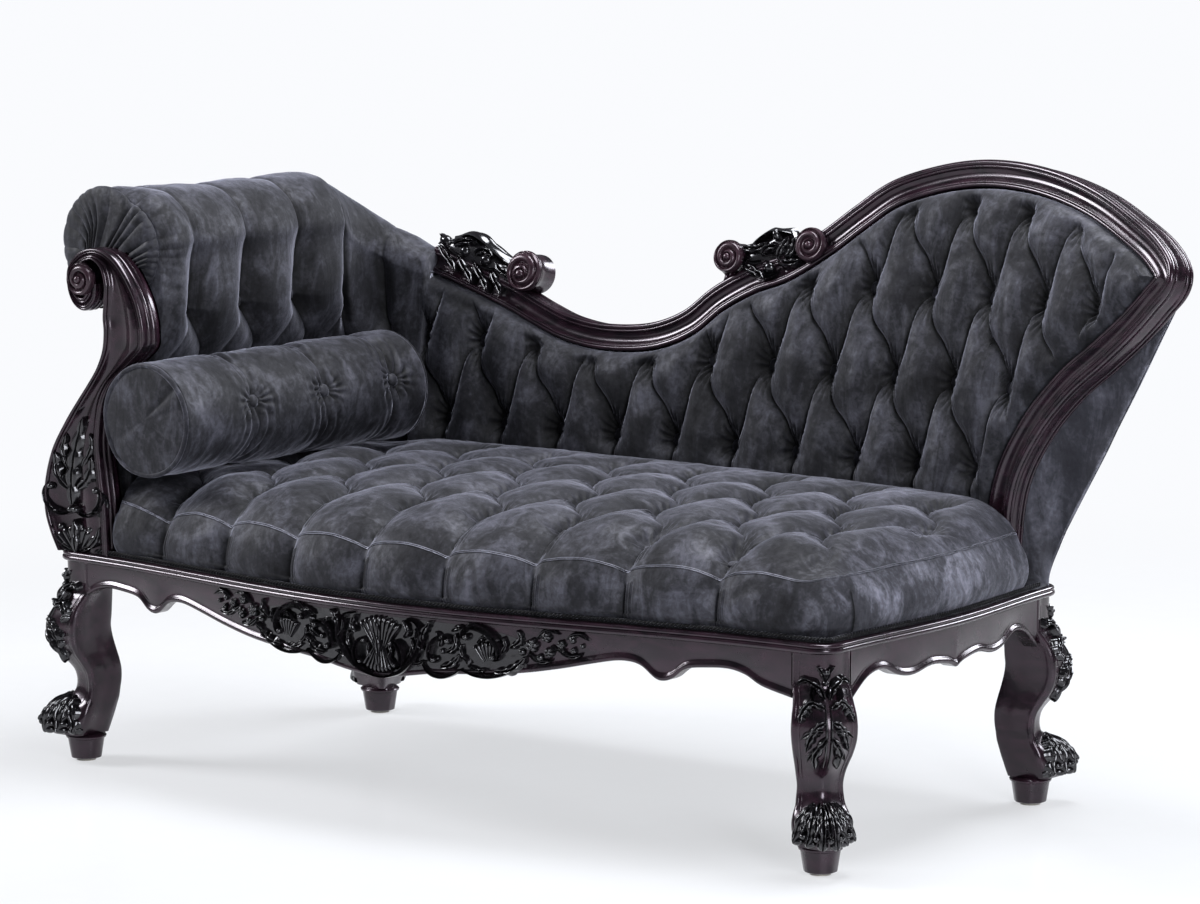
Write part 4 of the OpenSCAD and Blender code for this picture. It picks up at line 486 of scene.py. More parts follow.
SECTION = [(1, 0.0, -1.0), (1, 0.42, -0.72), (1, 1, -0.22), (1, 1, 0.22), (1, 0.42, 0.72), (1, 0, 1),
           (0, 0.45, 0.55), (0, 0.88, 0.12), (0, 0.88, -0.12), (0, 0.45, -0.55)]


def leg_world(k, a, b, z):
    o = FOOT_TURN[k]
    return np.stack([FEET[k][0] + o[0] * a - o[1] * b, FEET[k][1] + o[1] * a + o[0] * b, z], -1)


def leg_ring(k, s):
    r = LEG_AT(s)
    pts = [[BLOCK_W * lerp(r[3], r[0] if w else r[1], q), BLOCK_W * r[2] * b] for w, q, b in SECTION]
    p = spline(pts, 6, loop=True)
    return leg_world(k, p[:, 0], p[:, 1], np.full(len(p), TOE_H + s * LEG_H))


def leg_front(s, b):
    """A point on a leg's outer faces, by its height share and its place across, from -1 to 1."""
    r = LEG_AT(s)
    n = np.clip(np.abs(b), 0, 1)
    q = np.interp(n, [0, 0.22, 0.72, 1], [1.06, 1, 0.42, 0])
    return BLOCK_W * (r[..., 3] + (r[..., 0] - r[..., 3]) * q), BLOCK_W * r[..., 2] * b


def legs():
    """Four cabriole legs and their turned toes."""
    for k in range(4):
        shape = Shape()
        shape.tube([leg_ring(k, s) for s in np.linspace(0, 1, 110)])
        build(f"cabriole_{LEG_NAMES[k]}", shape, WOOD, nodes=[f"leg_{LEG_NAMES[k]}"], sharp=50)
    shape = Shape()
    prof = np.array([[0, GLIDE_T], [TOE_LOW_R - 3, GLIDE_T], [TOE_LOW_R - 0.6, GLIDE_T + 1.2],
                     [TOE_LOW_R, GLIDE_T + 4], [TOE_R - 1.6, TOE_H - 9], [TOE_R + 1.0, TOE_H - 7.4],
                     [TOE_R + 1.6, TOE_H - 4.6], [TOE_R - 0.4, TOE_H - 2.2], [TOE_R - 3, TOE_H - WOOD_GAP],
                     [0, TOE_H - WOOD_GAP]])
    a = around(64)
    # Turned toes are slightly eight-sided near the floor, as the photograph's are
    for k in range(4):
        rings = []
        for r, z in prof:
            flat = 1 - 0.035 * (0.5 + 0.5 * np.cos(8 * a)) * np.interp(z, [GLIDE_T, TOE_H - 12, TOE_H - 8],
                                                                       [1, 1, 0])
            rings.append(np.stack([FEET[k][0] + r * flat * np.cos(a), FEET[k][1] + r * flat * np.sin(a),
                                   np.full(64, z)], 1))
        shape.tube(rings[1:-1])
    build("turned_toes", shape, WOOD, nodes=["leg_toes"], sharp=35)


# Crest and head band
TURN_FROM, LEAN_POWER = 0.434, 1.4


def back_y(x, z):
    return (BACK_DEP + HEAD_LEAN * (np.maximum(0, z - LEAN_Z) / (HEAD_TOP - LEAN_Z)) ** LEAN_POWER
            - HEAD_TURN * (np.maximum(0, x - TURN_FROM * HEAD_REACH) / (HEAD_REACH * (1 - TURN_FROM))) ** 2)


def back_out(x, z):
    e = 1.0
    return unit(np.stack([(back_y(x + e, z) - back_y(x - e, z)) / (2 * e), -np.ones_like(x),
                          (back_y(x, z + e) - back_y(x, z - e)) / (2 * e)], -1))


CREST = [[-0.41, 0.285], [-0.345, 0.218], [-0.29, 0.155], [-0.238, 0.085], [-0.18, 0.022], [-0.106, -0.007],
         [-0.019, 0.017], [0.048, 0.104], [0.101, 0.247], [0.159, 0.358], [0.222, 0.441]]
HEAD = [[0.289, 0.585], [0.345, 0.732], [0.400, 0.863], [0.469, 0.946], [0.542, 0.993], [0.619, 1],
        [0.702, 0.970], [0.791, 0.900], [0.873, 0.799], [0.940, 0.700], [0.975, 0.590], [0.943, 0.458],
        [0.897, 0.308], [0.843, 0.157], [0.787, 0.010], [0.739, -0.157], [0.703, -0.328], [0.678, -0.495],
        [0.663, -0.679], [0.656, -0.880]]
WOOD_LOW, WOOD_HIGH = CREST_LOW - BAND_W / 2, HEAD_TOP - BAND_W / 2
WOOD_K = 16


def wood_path():
    knots = ([[-CREST_LEFT + 4 * SOFT_GAP, WOOD_LOW + 0.34 * (WOOD_HIGH - WOOD_LOW)]]
             + [[a * HEAD_REACH, WOOD_LOW + b * (WOOD_HIGH - WOOD_LOW)] for a, b in CREST + HEAD]
             + [[0.653 * HEAD_REACH, CAP_Z + WOOD_GAP]])
    flat = spline(knots, WOOD_K)
    line = np.stack([flat[:, 0], back_y(flat[:, 0], flat[:, 1]), flat[:, 1]], 1)
    d = unit(np.gradient(line, axis=0))
    # The left end is cut plumb against the arm
    for i in range(WOOD_K // 2):
        d[i] = unit(lerp(np.array([1.0, 0, 0]), d[WOOD_K // 2], 2 * i / WOOD_K))
    out = back_out(line[:, 0], line[:, 2])
    return line, d, out, unit(np.cross(out, d))


WOOD_LINE, WOOD_DIR, WOOD_OUT, WOOD_UP = wood_path()
WOOD_N = len(WOOD_LINE)
CREST_N = len(CREST) * WOOD_K


def wood_at(q, a, b):
    """A point by its place along the wood line, in steps, and its offsets up and out."""
    q = np.asarray(q, float)
    i = np.clip(np.floor(q).astype(int), 0, WOOD_N - 2)
    t = (q - i)[..., None]
    p = lerp(WOOD_LINE[i], WOOD_LINE[i + 1], t)
    u = unit(lerp(WOOD_UP[i], WOOD_UP[i + 1], t))
    o = unit(lerp(WOOD_OUT[i], WOOD_OUT[i + 1], t))
    return p + np.asarray(a, float)[..., None] * u + np.asarray(b, float)[..., None] * o


BAND = np.concatenate([[[-21, -26], [19.6, -26]], arc(20.2, -22.8, 2.8, -80, 80, 9), [[19.8, -19.4]],
                       arc(19.8, -15.6, 3.2, -75, 75, 9), [[20.2, -11.8], [21.4, -10.6], [21.8, -3],
                                                           [20.6, 1.0]], arc(20.0, 4.0, 2.2, -70, 50, 7),
                       [[20.2, 6.6]], arc(17.0, 11.4, 5.2, -30, 150, 14), arc(11.0, 13.2, 2.3, 20, 165, 8),
                       [[8.2, 10.8], [4, 8.2], [-1, 7.4], [-6, 8.6], [-10.6, 11.6]],
                       arc(-14.0, 13.2, 2.2, 30, 150, 7), arc(-18.0, 12.2, 3.9, 60, 205, 12),
                       [[-22, 6], [-22, -25]]])


def band():
    """The moulded wood along the back's edge: crest rail, then head band."""
    for name, node_name, a, b in (("crest_rail_moulded", "crest_rail", 0, CREST_N),
                                  ("head_band_moulded", "head_band", CREST_N, WOOD_N - 1)):
        i = np.arange(a, b + 1)
        shape = Shape()
        rings = (WOOD_LINE[i][:, None] + BAND[None, :, 0:1] * WOOD_UP[i][:, None] + BAND[None, :, 1:2]
                 * WOOD_OUT[i][:, None])
        shape.tube(rings)
        build(name, shape, WOOD, nodes=[node_name], sharp=38)


# Scroll post
POST_LEFT, POST_Y = -HL - POST_OUT, -HD - POST_OUT / 5
# A point on the left edge and one on the right, along and up, as shares of the post's width and height
POST_PAIRS = np.array([[0.12, 0.0, 0.62, 0.0], [0.05, 0.06, 0.615, 0.07], [0.0, 0.13, 0.60, 0.16],
                       [0.005, 0.22, 0.57, 0.26], [0.08, 0.33, 0.55, 0.36], [0.22, 0.43, 0.57, 0.44],
                       [0.34, 0.50, 0.61, 0.51], [0.44, 0.555, 0.70, 0.575], [0.53, 0.61, 0.86, 0.635],
                       [0.59, 0.67, 0.985, 0.685], [0.607, 0.73, 1.0, 0.735], [0.60, 0.78, 0.985, 0.785],
                       [0.61, 0.83, 0.935, 0.85], [0.615, 0.885, 0.82, 0.93], [0.58, 0.935, 0.68, 0.985],
                       [0.49, 0.962, 0.51, 1.0], [0.385, 0.945, 0.36, 0.98], [0.315, 0.91, 0.262, 0.93],
                       [0.305, 0.87, 0.262, 0.862], [0.345, 0.842, 0.325, 0.812],
                       [0.405, 0.838, 0.43, 0.796], [0.45, 0.862, 0.525, 0.832],
                       [0.455, 0.89, 0.54, 0.885]])


def post_xyz(s, t, off):
    return np.stack([POST_LEFT + POST_W * s, POST_Y - off, CAP_Z + POST_H * t], -1)


def post():
    """The scroll post before the arm, with its beads, fillets and hollow face."""
    rows = spline(POST_PAIRS, 10)
    rows[:, 1] = np.maximum(rows[:, 1], 0)
    rows[:, 3] = np.maximum(rows[:, 3], 0)
    left = np.stack([POST_LEFT + POST_W * rows[:, 0], CAP_Z + WOOD_GAP + POST_H * rows[:, 1]], 1)
    right = np.stack([POST_LEFT + POST_W * rows[:, 2], CAP_Z + WOOD_GAP + POST_H * rows[:, 3]], 1)
    # Distances in from each edge and the height of the face there: bead, fillet, hollow
    edge = np.array([[0.0, -3.0], [0.5, 0.2], [2.0, 2.4], [4.0, 3.2], [6.0, 2.6], [7.4, 0.6], [8.2, -1.2],
                     [9.4, 0.0], [11.0, 0.9], [12.6, 0.0], [13.6, -1.8]])
    middle = [(0.05, -4.5), (0.14, -7.8), (0.28, -9.8), (0.42, -9.6), (0.55, -7.0), (0.66, -3.2),
              (0.75, -1.2), (0.83, -2.6), (0.9, -6.4), (0.96, -5.0)]
    near, far = [], []
    for a, b in zip(left, right):
        w = np.linalg.norm(b - a)
        k = min(1.0, w / 34.0)
        d = (b - a) / max(w, 1e-6)
        cols = [(e[0] * k, e[1] * k) for e in edge]
        inner = w - 2 * edge[-1][0] * k
        cols += [(edge[-1][0] * k + inner * m[0], m[1] * min(1, k) * min(1, w / 90 + 0.35)) for m in middle]
        cols += [(w - e[0] * k, e[1] * k) for e in edge[::-1]]
        # The side beside the velvet goes back in three beads
        side = [(w + o * k, -b) for b, o in ((7, 0.6), (8.4, -2.4), (10, -2.6), (11.6, -0.2), (14, 1.4),
                                             (16.6, 1.4), (19, -0.2), (20.4, -2.6), (22, -2.6),
                                             (23.4, -0.2), (26, 1.2), (29, -0.4), (30.4, -2.6), (33, -3.2),
                                             (38, -3.2))]
        rear = cols + [(w - 3.2 * k, 0)] * len(side)
        near.append([[a[0] + d[0] * c, POST_Y + 3.0 - h, a[1] + d[1] * c] for c, h in cols + side])
        far.append([[a[0] + d[0] * c, POST_Y + POST_T, a[1] + d[1] * c] for c, _ in rear])
    shape = Shape()
    shape.plate(np.array(near), np.array(far), flip=True)
    build("arm_post_moulded", shape, WOOD, nodes=["arm_front_post"], sharp=42)


def spiral_disc(shape, drum, centre, x_axis, y_axis, out, r, turns, rise, depth, start=0.0, hand=1,
                eye_at=(0, 0)):
    """A scroll's end: a spiral ridge winding in to an eye, before a drum that goes back by depth."""
    n, m = 128, 30
    a = around(n)
    radii = np.linspace(0.0, 1, m) ** 0.9 * r
    c, x_axis, y_axis, out = (np.asarray(q, float) for q in (centre, x_axis, y_axis, out))
    grid = []
    pitch = r * 0.80 / turns
    for radius in radii:
        ph = ((r - radius) / pitch + hand * (a - start) / (2 * math.pi)) % 1.0
        ridge = np.sin(math.pi * np.clip((ph - 0.10) / 0.84, 0, 1)) ** 0.4
        h = rise * ridge * np.clip((r - radius) / (0.06 * r), 0.25, 1)
        eye = r * 0.23
        if radius < eye:
            h = np.full(n, rise * (0.7 + 0.75 * math.sqrt(max(0, 1 - (radius / eye) ** 2))))
        elif radius < eye * 1.25:
            h = np.full(n, rise * 0.1)
        h = h + rise * 0.5 * (1 - radius / r)
        mid = c + (1 - radius / r) * (eye_at[0] * x_axis + eye_at[1] * y_axis)
        grid.append(mid + radius * np.cos(a)[:, None] * x_axis + radius * np.sin(a)[:, None] * y_axis
                    + h[:, None] * out)
    ring = c + r * np.cos(a)[:, None] * x_axis + r * np.sin(a)[:, None] * y_axis
    shape.tube(np.array(grid[1:] + [ring - 2.0 * out]))
    # The drum has a bead at its front and a hollow round its middle
    steps = [(0.95, 0.4), (1.0, 1.6), (1.02, 4.0), (1.0, 6.4), (0.95, 8.0), (0.93, lerp(8, depth, 0.3)),
             (0.93, lerp(8, depth, 0.6)), (0.97, depth - 5), (0.97, depth)]
    drum.tube(np.array([c + (ring - c) * q - d * out for q, d in steps]))


# Of each scroll on the crest: share of the crest's run, rise of its centre, radius, depth, hand, eye's place
VOLUTES = [(0.269, 50.0, 34.0, 46.0, 1, (-2.0, -9.0)), (0.879, 51.0, 27.0, 44.0, -1, (0.0, -2.0)),
           (1.063, 8.8, 28.0, 16.0, 1, (0.0, -2.0))]
VOLUTE_FRONT = 0.5 * BAND_T


def scrolls():
    """The arm's scroll and the three volutes on the crest."""
    drum, face = Shape(), Shape()
    c = post_xyz(np.array(0.41), np.array(0.9), 0)
    spiral_disc(face, drum, c + [0, -1.5, 0], [1, 0, 0], [0, 0, 1], [0, -1, 0], SCROLL_R * 0.66, 1.6, 7.5,
                6, start=0.6, hand=-1)
    build("arm_scroll_drum", drum, WOOD, nodes=["arm_scroll"], sharp=60)
    build("arm_scroll_volute", face, SCROLL, sharp=60)
    drum, face = Shape(), Shape()
    for s, up, r, depth, hand, eye_at in VOLUTES:
        q = s * CREST_N
        i = int(round(q))
        c = wood_at(q, up, VOLUTE_FRONT)
        spiral_disc(face, drum, c, WOOD_DIR[i], WOOD_UP[i], WOOD_OUT[i], r, 1.9, 6.0, depth,
                    math.pi * (hand > 0), hand, eye_at)
    build("crest_volutes_drums", drum, WOOD, nodes=["crest_volutes"], sharp=50)
    build("crest_volutes_carved", face, SCROLL, sharp=60)


# Carving
BEAD = [(-1, 0), (-0.92, 0.4), (-0.7, 0.72), (-0.38, 0.93), (0, 1), (0.38, 0.93), (0.7, 0.72), (0.92, 0.4),
        (1, 0)]
FLUTED = [(-1, 0), (-0.94, 0.68), (-0.76, 0.97), (-0.56, 0.84), (-0.36, 0.46), (0, 0.3), (0.36, 0.46),
          (0.56, 0.84), (0.76, 0.97), (0.94, 0.68), (1, 0)]


def bow(a, b, turn=1.2, curl_a=42.0, curl_b=42.0, hand=1, n=96):
    """A scroll line from one eye to the other: it turns steadily between them and winds up at each end."""
    s = np.linspace(-1, 1, n)
    bend = turn + curl_a * np.clip(-s, 0, 1) ** 5 + curl_b * np.clip(s, 0, 1) ** 5
    th = np.cumsum(bend) * (s[1] - s[0]) * hand
    z = np.cumsum(np.exp(1j * th))
    z = complex(*a) + (z - z[0]) * (complex(*b) - complex(*a)) / (z[-1] - z[0])
    return np.stack([z.real, z.imag], 1)


class Relief(Shape):
    """Carved forms on a face: place(u, v, h) gives the point at a flat place and a height over the face."""

    def __init__(self, place, sink=2.5):
        super().__init__()
        self.place, self.sink, self.mirror = place, sink, (0.0, 1)

    def put(self, u, v, h):
        return self.place(self.mirror[0] + self.mirror[1] * u, v, h)

    def lay(self, u, v, h):
        self.plate(self.put(u, v, h), self.put(u, v, np.full(np.shape(h), -self.sink)),
                   flip=self.mirror[1] < 0)

    def strip(self, line, wide, high, section=FLUTED, ends=(0.35, 0.35)):
        p = np.asarray(line, float)
        t = unit(np.gradient(p, axis=0))
        s = np.linspace(0, 1, len(p))
        env = np.minimum(lerp(ends[0], 1, ease(s / 0.4)), lerp(ends[1], 1, ease((1 - s) / 0.4)))[:, None]
        sec = np.asarray(section, float)[None]
        off = wide / 2 * env * sec[..., 0]
        self.lay(p[:, :1] - t[:, 1:] * off, p[:, 1:] + t[:, :1] * off, high * (0.45 + 0.55 * env)
                 * sec[..., 1])

    def scroll(self, a, b, wide, high, eye=0.0, **kw):
        self.strip(bow(a, b, **kw), wide, high)
        for c in (a, b):
            if eye:
                self.bud(c, eye, high * 1.15)

    def leaf(self, line, wide, high, lobes=3, curl=0.5):
        """An acanthus leaf: lobes with hollows between them, a sunk midrib and a tip that curls up."""
        p = even(spline(line, 8), 9 * lobes + 8)
        t = unit(np.gradient(p, axis=0))
        s = np.linspace(0, 1, len(p))[:, None]
        v = np.linspace(-1, 1, 17)[None]
        env = np.sin(math.pi * np.clip(0.14 + 0.86 * s, 0, 1)) ** 0.6
        lobe = np.abs(np.sin(math.pi * (lobes * s + 0.18 * np.abs(v) - 0.1))) ** 0.55
        w = wide / 2 * env * (0.5 + 0.5 * np.abs(np.sin(math.pi * (lobes * s + 0.08))) ** 0.5)
        lean = wide * 0.22 * np.abs(v) ** 1.6 * env
        u0 = p[:, :1] - t[:, 1:] * w * v + t[:, :1] * lean
        v0 = p[:, 1:] + t[:, :1] * w * v + t[:, 1:] * lean
        across = (1 - np.abs(v) ** 3.5) * (0.55 + 0.45 * np.sin(math.pi * np.clip(np.abs(v) * 1.25, 0, 1)))
        h = high * (0.35 + 0.65 * env) * across * (0.55 + 0.45 * lerp(1, lobe, np.abs(v) ** 0.6))
        h = h * (1 - 0.42 * hill(v, 0.12))
        h = h + high * curl * ease((s - 0.72) / 0.28) * (1 - np.abs(v) ** 2)
        self.lay(u0, v0, np.maximum(h, 0.3))

    def bud(self, c, r, high, petals=0, turn=0.0):
        """A berry, or a flower with that many petals round its eye."""
        a = around(max(20, 8 * petals))
        rings = [self.put(c[0] + r * 0.9 * np.cos(a), c[1] + r * 0.9 * np.sin(a),
                          np.full(len(a), -self.sink))]
        for rho in np.linspace(1, 0.06, 12):
            spread_out = np.abs(np.cos((a + turn) * petals / 2)) ** 0.6 if petals else np.ones(len(a))
            rr = r * rho * lerp(1, 0.68 + 0.32 * spread_out, rho)
            if petals:
                h = high * (0.25 + 0.75 * math.sin(math.pi * min(1, rho * 1.05)) ** 0.8
                            * (0.45 + 0.55 * spread_out))
                h = np.where(rho < 0.3, high * (0.5 + 0.5 * math.sqrt(max(0, 1 - (rho / 0.3) ** 2))), h)
            else:
                h = np.full(len(a), high * math.sqrt(max(0.01, 1 - rho ** 2)))
            rings.append(self.put(c[0] + rr * np.cos(a), c[1] + rr * np.sin(a), h))
        self.tube(np.array(rings))

    def fan(self, c, r0, r1, a0, a1, ribs, high):
        """A shell: rounded ribs that spread from a point and end in scallops."""
        phi, rho = np.linspace(0, 1, 9 * ribs + 1)[None], np.linspace(0, 1, 14)[:, None]
        a = np.radians(a0 + (a1 - a0) * phi)
        rib = np.abs(np.sin(math.pi * ribs * phi)) ** 0.6
        r = lerp(r0, r1 * (1 - 0.09 * (1 - rib)), rho)
        h = high * (0.3 + 0.7 * rib) * (0.35
                                        + 0.65 * rho ** 0.7) * (1
                                                                - 0.75 * np.clip((rho - 0.8) / 0.2, 0,
                                                                                 1) ** 2)
        self.lay(c[0] + r * np.cos(a), c[1] + r * np.sin(a), h)

    def finish(self, name, *nodes, mat=None):
        ob = build(name, self, mat or CARVED, nodes=nodes, sharp=62)
        bm = bmesh.new()
        bm.from_mesh(ob.data)
        bmesh.ops.recalc_face_normals(bm, faces=bm.faces)
        bm.to_mesh(ob.data)
        bm.free()


def apron_relief():
    """Rocaille on the front rail: a shell between scrolls, with leaves and flowers out to both sides."""
    r = Relief(lambda u, v, h: np.stack([u, front_y(u) - h, v], -1))
    mid = -11.0
    # A dark sunk ground behind the work
    u = np.linspace(-258, 258, 120)[:, None]
    reach = np.sqrt(1 - (np.abs(u) / 262) ** 4)
    low = np.maximum(apron_z(u + mid) + 8, 276 - 40 * reach)
    high = 300 + 30 * reach
    v = lerp(low, high, np.linspace(0, 1, 16)[None])
    r.mirror = (mid, 1)
    u, v = np.broadcast_arrays(u, v)
    r.lay(u, v, 0.5 + 0.5 * waves(np.stack([u, np.zeros_like(v), v], -1), 9, 51))
    r.fan((0, 264), 16, 67, 52, 128, 9, 11)
    r.fan((0, 296), 10, 56, -128, -52, 9, 12)
    r.leaf([(0, 250), (0, 284), (0, 322)], 17, 14, 3)
    for m in (-1, 1):
        r.mirror = (mid, m)
        r.strip(even(spline([(52, 330), (70, 325), (80, 306), (73, 280), (46, 251), (18, 238), (0, 235)],
                            12), 70), 10, 13)
        r.scroll((26, 290), (33, 257), 9, 15, 5, turn=1.3, hand=-1, curl_a=46, curl_b=20)
        r.leaf([(46, 300), (54, 312), (46, 328)], 15, 11, 2)
        r.leaf([(52, 268), (62, 284), (60, 302)], 13, 9, 3)
        r.scroll((128, 303), (103, 272), 10, 13, 6, turn=1.5, hand=1)
        r.leaf([(80, 296), (84, 314), (97, 331)], 17, 11, 3)
        r.leaf([(84, 284), (72, 300), (70, 318)], 11, 12, 2)
        r.leaf([(110, 292), (114, 306), (104, 316)], 13, 8, 2)
        r.leaf([(112, 262), (131, 266), (150, 284)], 18, 11, 3)
        r.leaf([(122, 284), (138, 294), (140, 316)], 15, 9, 3)
        r.bud((116, 286), 5, 9)
        r.scroll((160, 312), (206, 284), 11, 13, 6, turn=1.5, curl_a=26, curl_b=44, hand=-1)
        r.fan((196, 262), 16, 46, 70, 128, 6, 9)
        r.leaf([(206, 262), (236, 268), (262, 290)], 19, 11, 4)
        r.leaf([(232, 300), (250, 314), (246, 330)], 16, 9, 3)
        r.leaf([(150, 318), (166, 331), (186, 330)], 13, 9, 3)
        r.strip(even(spline([(76, 268), (90, 252), (112, 246), (134, 252), (150, 262)], 10), 40), 7, 9)
        r.strip(even(spline([(148, 260), (170, 254), (200, 254), (228, 262), (252, 274)], 10), 40), 7, 9)
        for u, v, size, petals in ((270, 308, 12, 5), (294, 322, 9, 5), (298, 299, 9, 5), (318, 313, 8, 5),
                                   (336, 320, 5, 0), (338, 305, 6, 4), (352, 313, 4, 0), (282, 290, 6, 0),
                                   (252, 296, 6, 0)):
            r.bud((u, v), size, 5 + size * 0.5, petals, u)
        for line in ([(262, 296), (280, 284), (302, 286)], [(276, 318), (296, 333), (316, 328)],
                     [(312, 304), (334, 295), (352, 300)], [(326, 322), (346, 330), (364, 322)],
                     [(300, 310), (312, 304), (326, 304)]):
            r.leaf(line, 11, 7, 2)
        for line in ([(88, 278), (96, 286), (94, 298)], [(150, 300), (152, 284), (164, 270)],
                     [(132, 318), (146, 326), (158, 322)], [(176, 304), (190, 314), (206, 312)],
                     [(218, 290), (226, 304), (222, 318)], [(160, 268), (180, 262), (196, 266)],
                     [(58, 262), (72, 262), (86, 268)], [(14, 262), (22, 276), (18, 290)],
                     [(12, 300), (20, 310), (34, 312)]):
            r.leaf(line, 11, 9, 2, 0.8)
    r.finish("apron_rocaille_carved", "apron_carving")


def post_relief():
    """Leaf, scrolls and tulip on the lower part of the scroll post."""
    r = Relief(lambda u, v, h: np.stack([lerp(-712.0, u, 1.32), POST_Y + 9 - h, lerp(450.0, v, 1.12)], -1))
    r.leaf([(-717, 430), (-716, 470), (-708, 516), (-694, 562)], 30, 13, 5)
    r.leaf([(-722, 452), (-740, 474), (-742, 508)], 22, 11, 3)
    r.leaf([(-708, 454), (-690, 472), (-682, 504)], 22, 11, 3)
    r.leaf([(-724, 484), (-732, 512), (-724, 534)], 15, 8, 3)
    r.leaf([(-700, 488), (-686, 514), (-686, 538)], 14, 8, 3)
    r.leaf([(-711, 360), (-711, 384), (-711, 410)], 20, 14, 2)
    r.fan((-711, 352), 12, 48, 42, 138, 7, 8)
    for m in (-1, 1):
        r.mirror = (-713.0, m)
        r.scroll((37, 455), (4, 424), 10, 13, 6, turn=1.5, curl_a=48, curl_b=4, hand=-1)
        r.leaf([(6, 362), (28, 374), (42, 402)], 15, 9, 3)
        r.leaf([(22, 420), (42, 424), (50, 444)], 13, 8, 2)
        r.bud((24, 396), 5, 8)
    r.finish("post_leaf_carved", "arm_post_carving")


def leg_place(k):
    def point(u, v):
        s = (v - TOE_H) / LEG_H
        row = LEG_AT(s)
        a, b = leg_front(s, u / (BLOCK_W * np.abs(row[..., 2])))
        return leg_world(k, a, -b, v)

    def place(u, v, h):
        u, v = np.broadcast_arrays(np.asarray(u, float), np.asarray(v, float))
        p = point(u, v)
        n = unit(np.cross(point(u + 1.5, v) - point(u - 1.5, v), point(u, v + 1.5) - point(u, v - 1.5)))
        out = np.append(FOOT_TURN[k], 0.1)
        n = unit(n * np.sign(n @ out)[..., None] + 0.35 * out)
        return p + n * np.asarray(h)[..., None]
    return place


def leg_reliefs():
    """Leaves down each knee, a bead along each edge and curls over each scroll foot."""
    knees, feet, edges = Relief(None, 4.0), Relief(None, 4.0), Relief(None, 5.0)
    run = np.linspace(98, 322, 90)
    half = BLOCK_W * np.abs(LEG_AT((run - TOE_H) / LEG_H)[:, 2])
    for k in range(4):
        for r in (knees, feet, edges):
            r.place = leg_place(k)
        for m in (-1, 1):
            edges.mirror = (0.0, m)
            edges.strip(np.stack([half * 0.93, run], 1), 6.5, 3.4, BEAD, (0.6, 0.6))
            edges.strip(np.stack([half * 0.80, run], 1), 3.0, 1.6, BEAD, (0.6, 0.6))
        for m in (-1, 1):
            knees.mirror = (0.0, m)
            knees.leaf([(1, 296), (5, 308), (11, 318)], 10, 9, 2)
            knees.leaf([(3, 268), (12, 288), (26, 296), (34, 286)], 17, 13, 3)
            knees.leaf([(5, 256), (20, 262), (34, 248), (36, 234)], 18, 11, 4)
            knees.leaf([(5, 238), (16, 230), (26, 208), (28, 194)], 17, 10, 4)
            knees.leaf([(3, 218), (12, 202), (17, 184), (12, 168)], 16, 11, 3)
            knees.leaf([(8, 226), (24, 222), (36, 212)], 12, 10, 2)
            knees.leaf([(6, 206), (20, 192), (26, 178)], 11, 9, 2)
            knees.scroll((12, 282), (10, 262), 6, 12, 3.5, turn=1.0, hand=-1, curl_a=36, curl_b=10)
            knees.strip([(3.5, z) for z in np.linspace(262, 168, 30)], 4.5, 6, BEAD)
        knees.mirror = (0.0, 1)
        knees.bud((0, 308), 6, 11)
        knees.bud((0, 292), 5, 9)
        for u in (-38, -23, -8, 8, 23, 38):
            feet.leaf([(u * 0.3, 106), (u * 0.75, 92), (u, 70), (u * 1.02, 54)], 17, 10, 3, 1.0)
            feet.bud((u, 56), 7, 11)
        for u in (-31, -15, 0, 15, 31):
            feet.leaf([(u * 0.4, 110), (u * 0.9, 88), (u, 68)], 12, 11, 2, 0.8)
            feet.bud((u, 66), 4.5, 11)
    knees.finish("knee_leaves_carved", "knee_carvings")
    feet.finish("foot_curls_carved", "foot_carvings")
    edges.finish("leg_edge_beads", mat=WOOD)


WOOD_RUN = np.concatenate([[0], np.cumsum(np.linalg.norm(np.diff(WOOD_LINE, axis=0), axis=1))])


def crest_place(base):
    return lambda u, v, h: wood_at(np.interp(u, WOOD_RUN, np.arange(WOOD_N)), BAND_W / 2 + v, base + h)


def crest_block(name, node_name, u0, u1, top, flowers, leaves, curls):
    """Carving on the crest: a lump of wood, a broad leaf over its top, flowers and leaves on its face."""
    top = table(top)
    r = Relief(crest_place(10.0))
    r.mirror = (u0, 1)
    long = u1 - u0
    ang = np.radians(np.linspace(0, 180, 17))
    rings = []
    for u in np.linspace(0.5, long - 0.5, 60):
        t = float(top(u / long))
        rings.append(r.put(np.full(17, u), -6 + (t + 6) * np.sin(ang) ** 0.55, -17 + 22 * np.cos(ang)))
    r.tube(np.array(rings))
    for u, v, size in flowers:
        r.bud((u * long, v), size, size * 1.05)
    for line in leaves:
        r.leaf([(u * long, v) for u, v in line], 24, 13, 2, 0.6)
    for line, wide in curls:
        r.strip(even(spline([(u * long, v) for u, v in line], 8), 60), wide, 12, ends=(0.5, 0.12))

    def over_top(u, w, h):
        rise = BAND_W / 2 + top((u - u0) / long) * 0.94 + h * (1 - (w / 26) ** 2)
        return wood_at(np.interp(u, WOOD_RUN, np.arange(WOOD_N)), rise, w - 4)
    r.place = over_top
    r.leaf([(long * 0.08, -4), (long * 0.5, 2), (long * 0.98, 0)], 52, 10, 2, 0.8)
    r.finish(name, node_name)


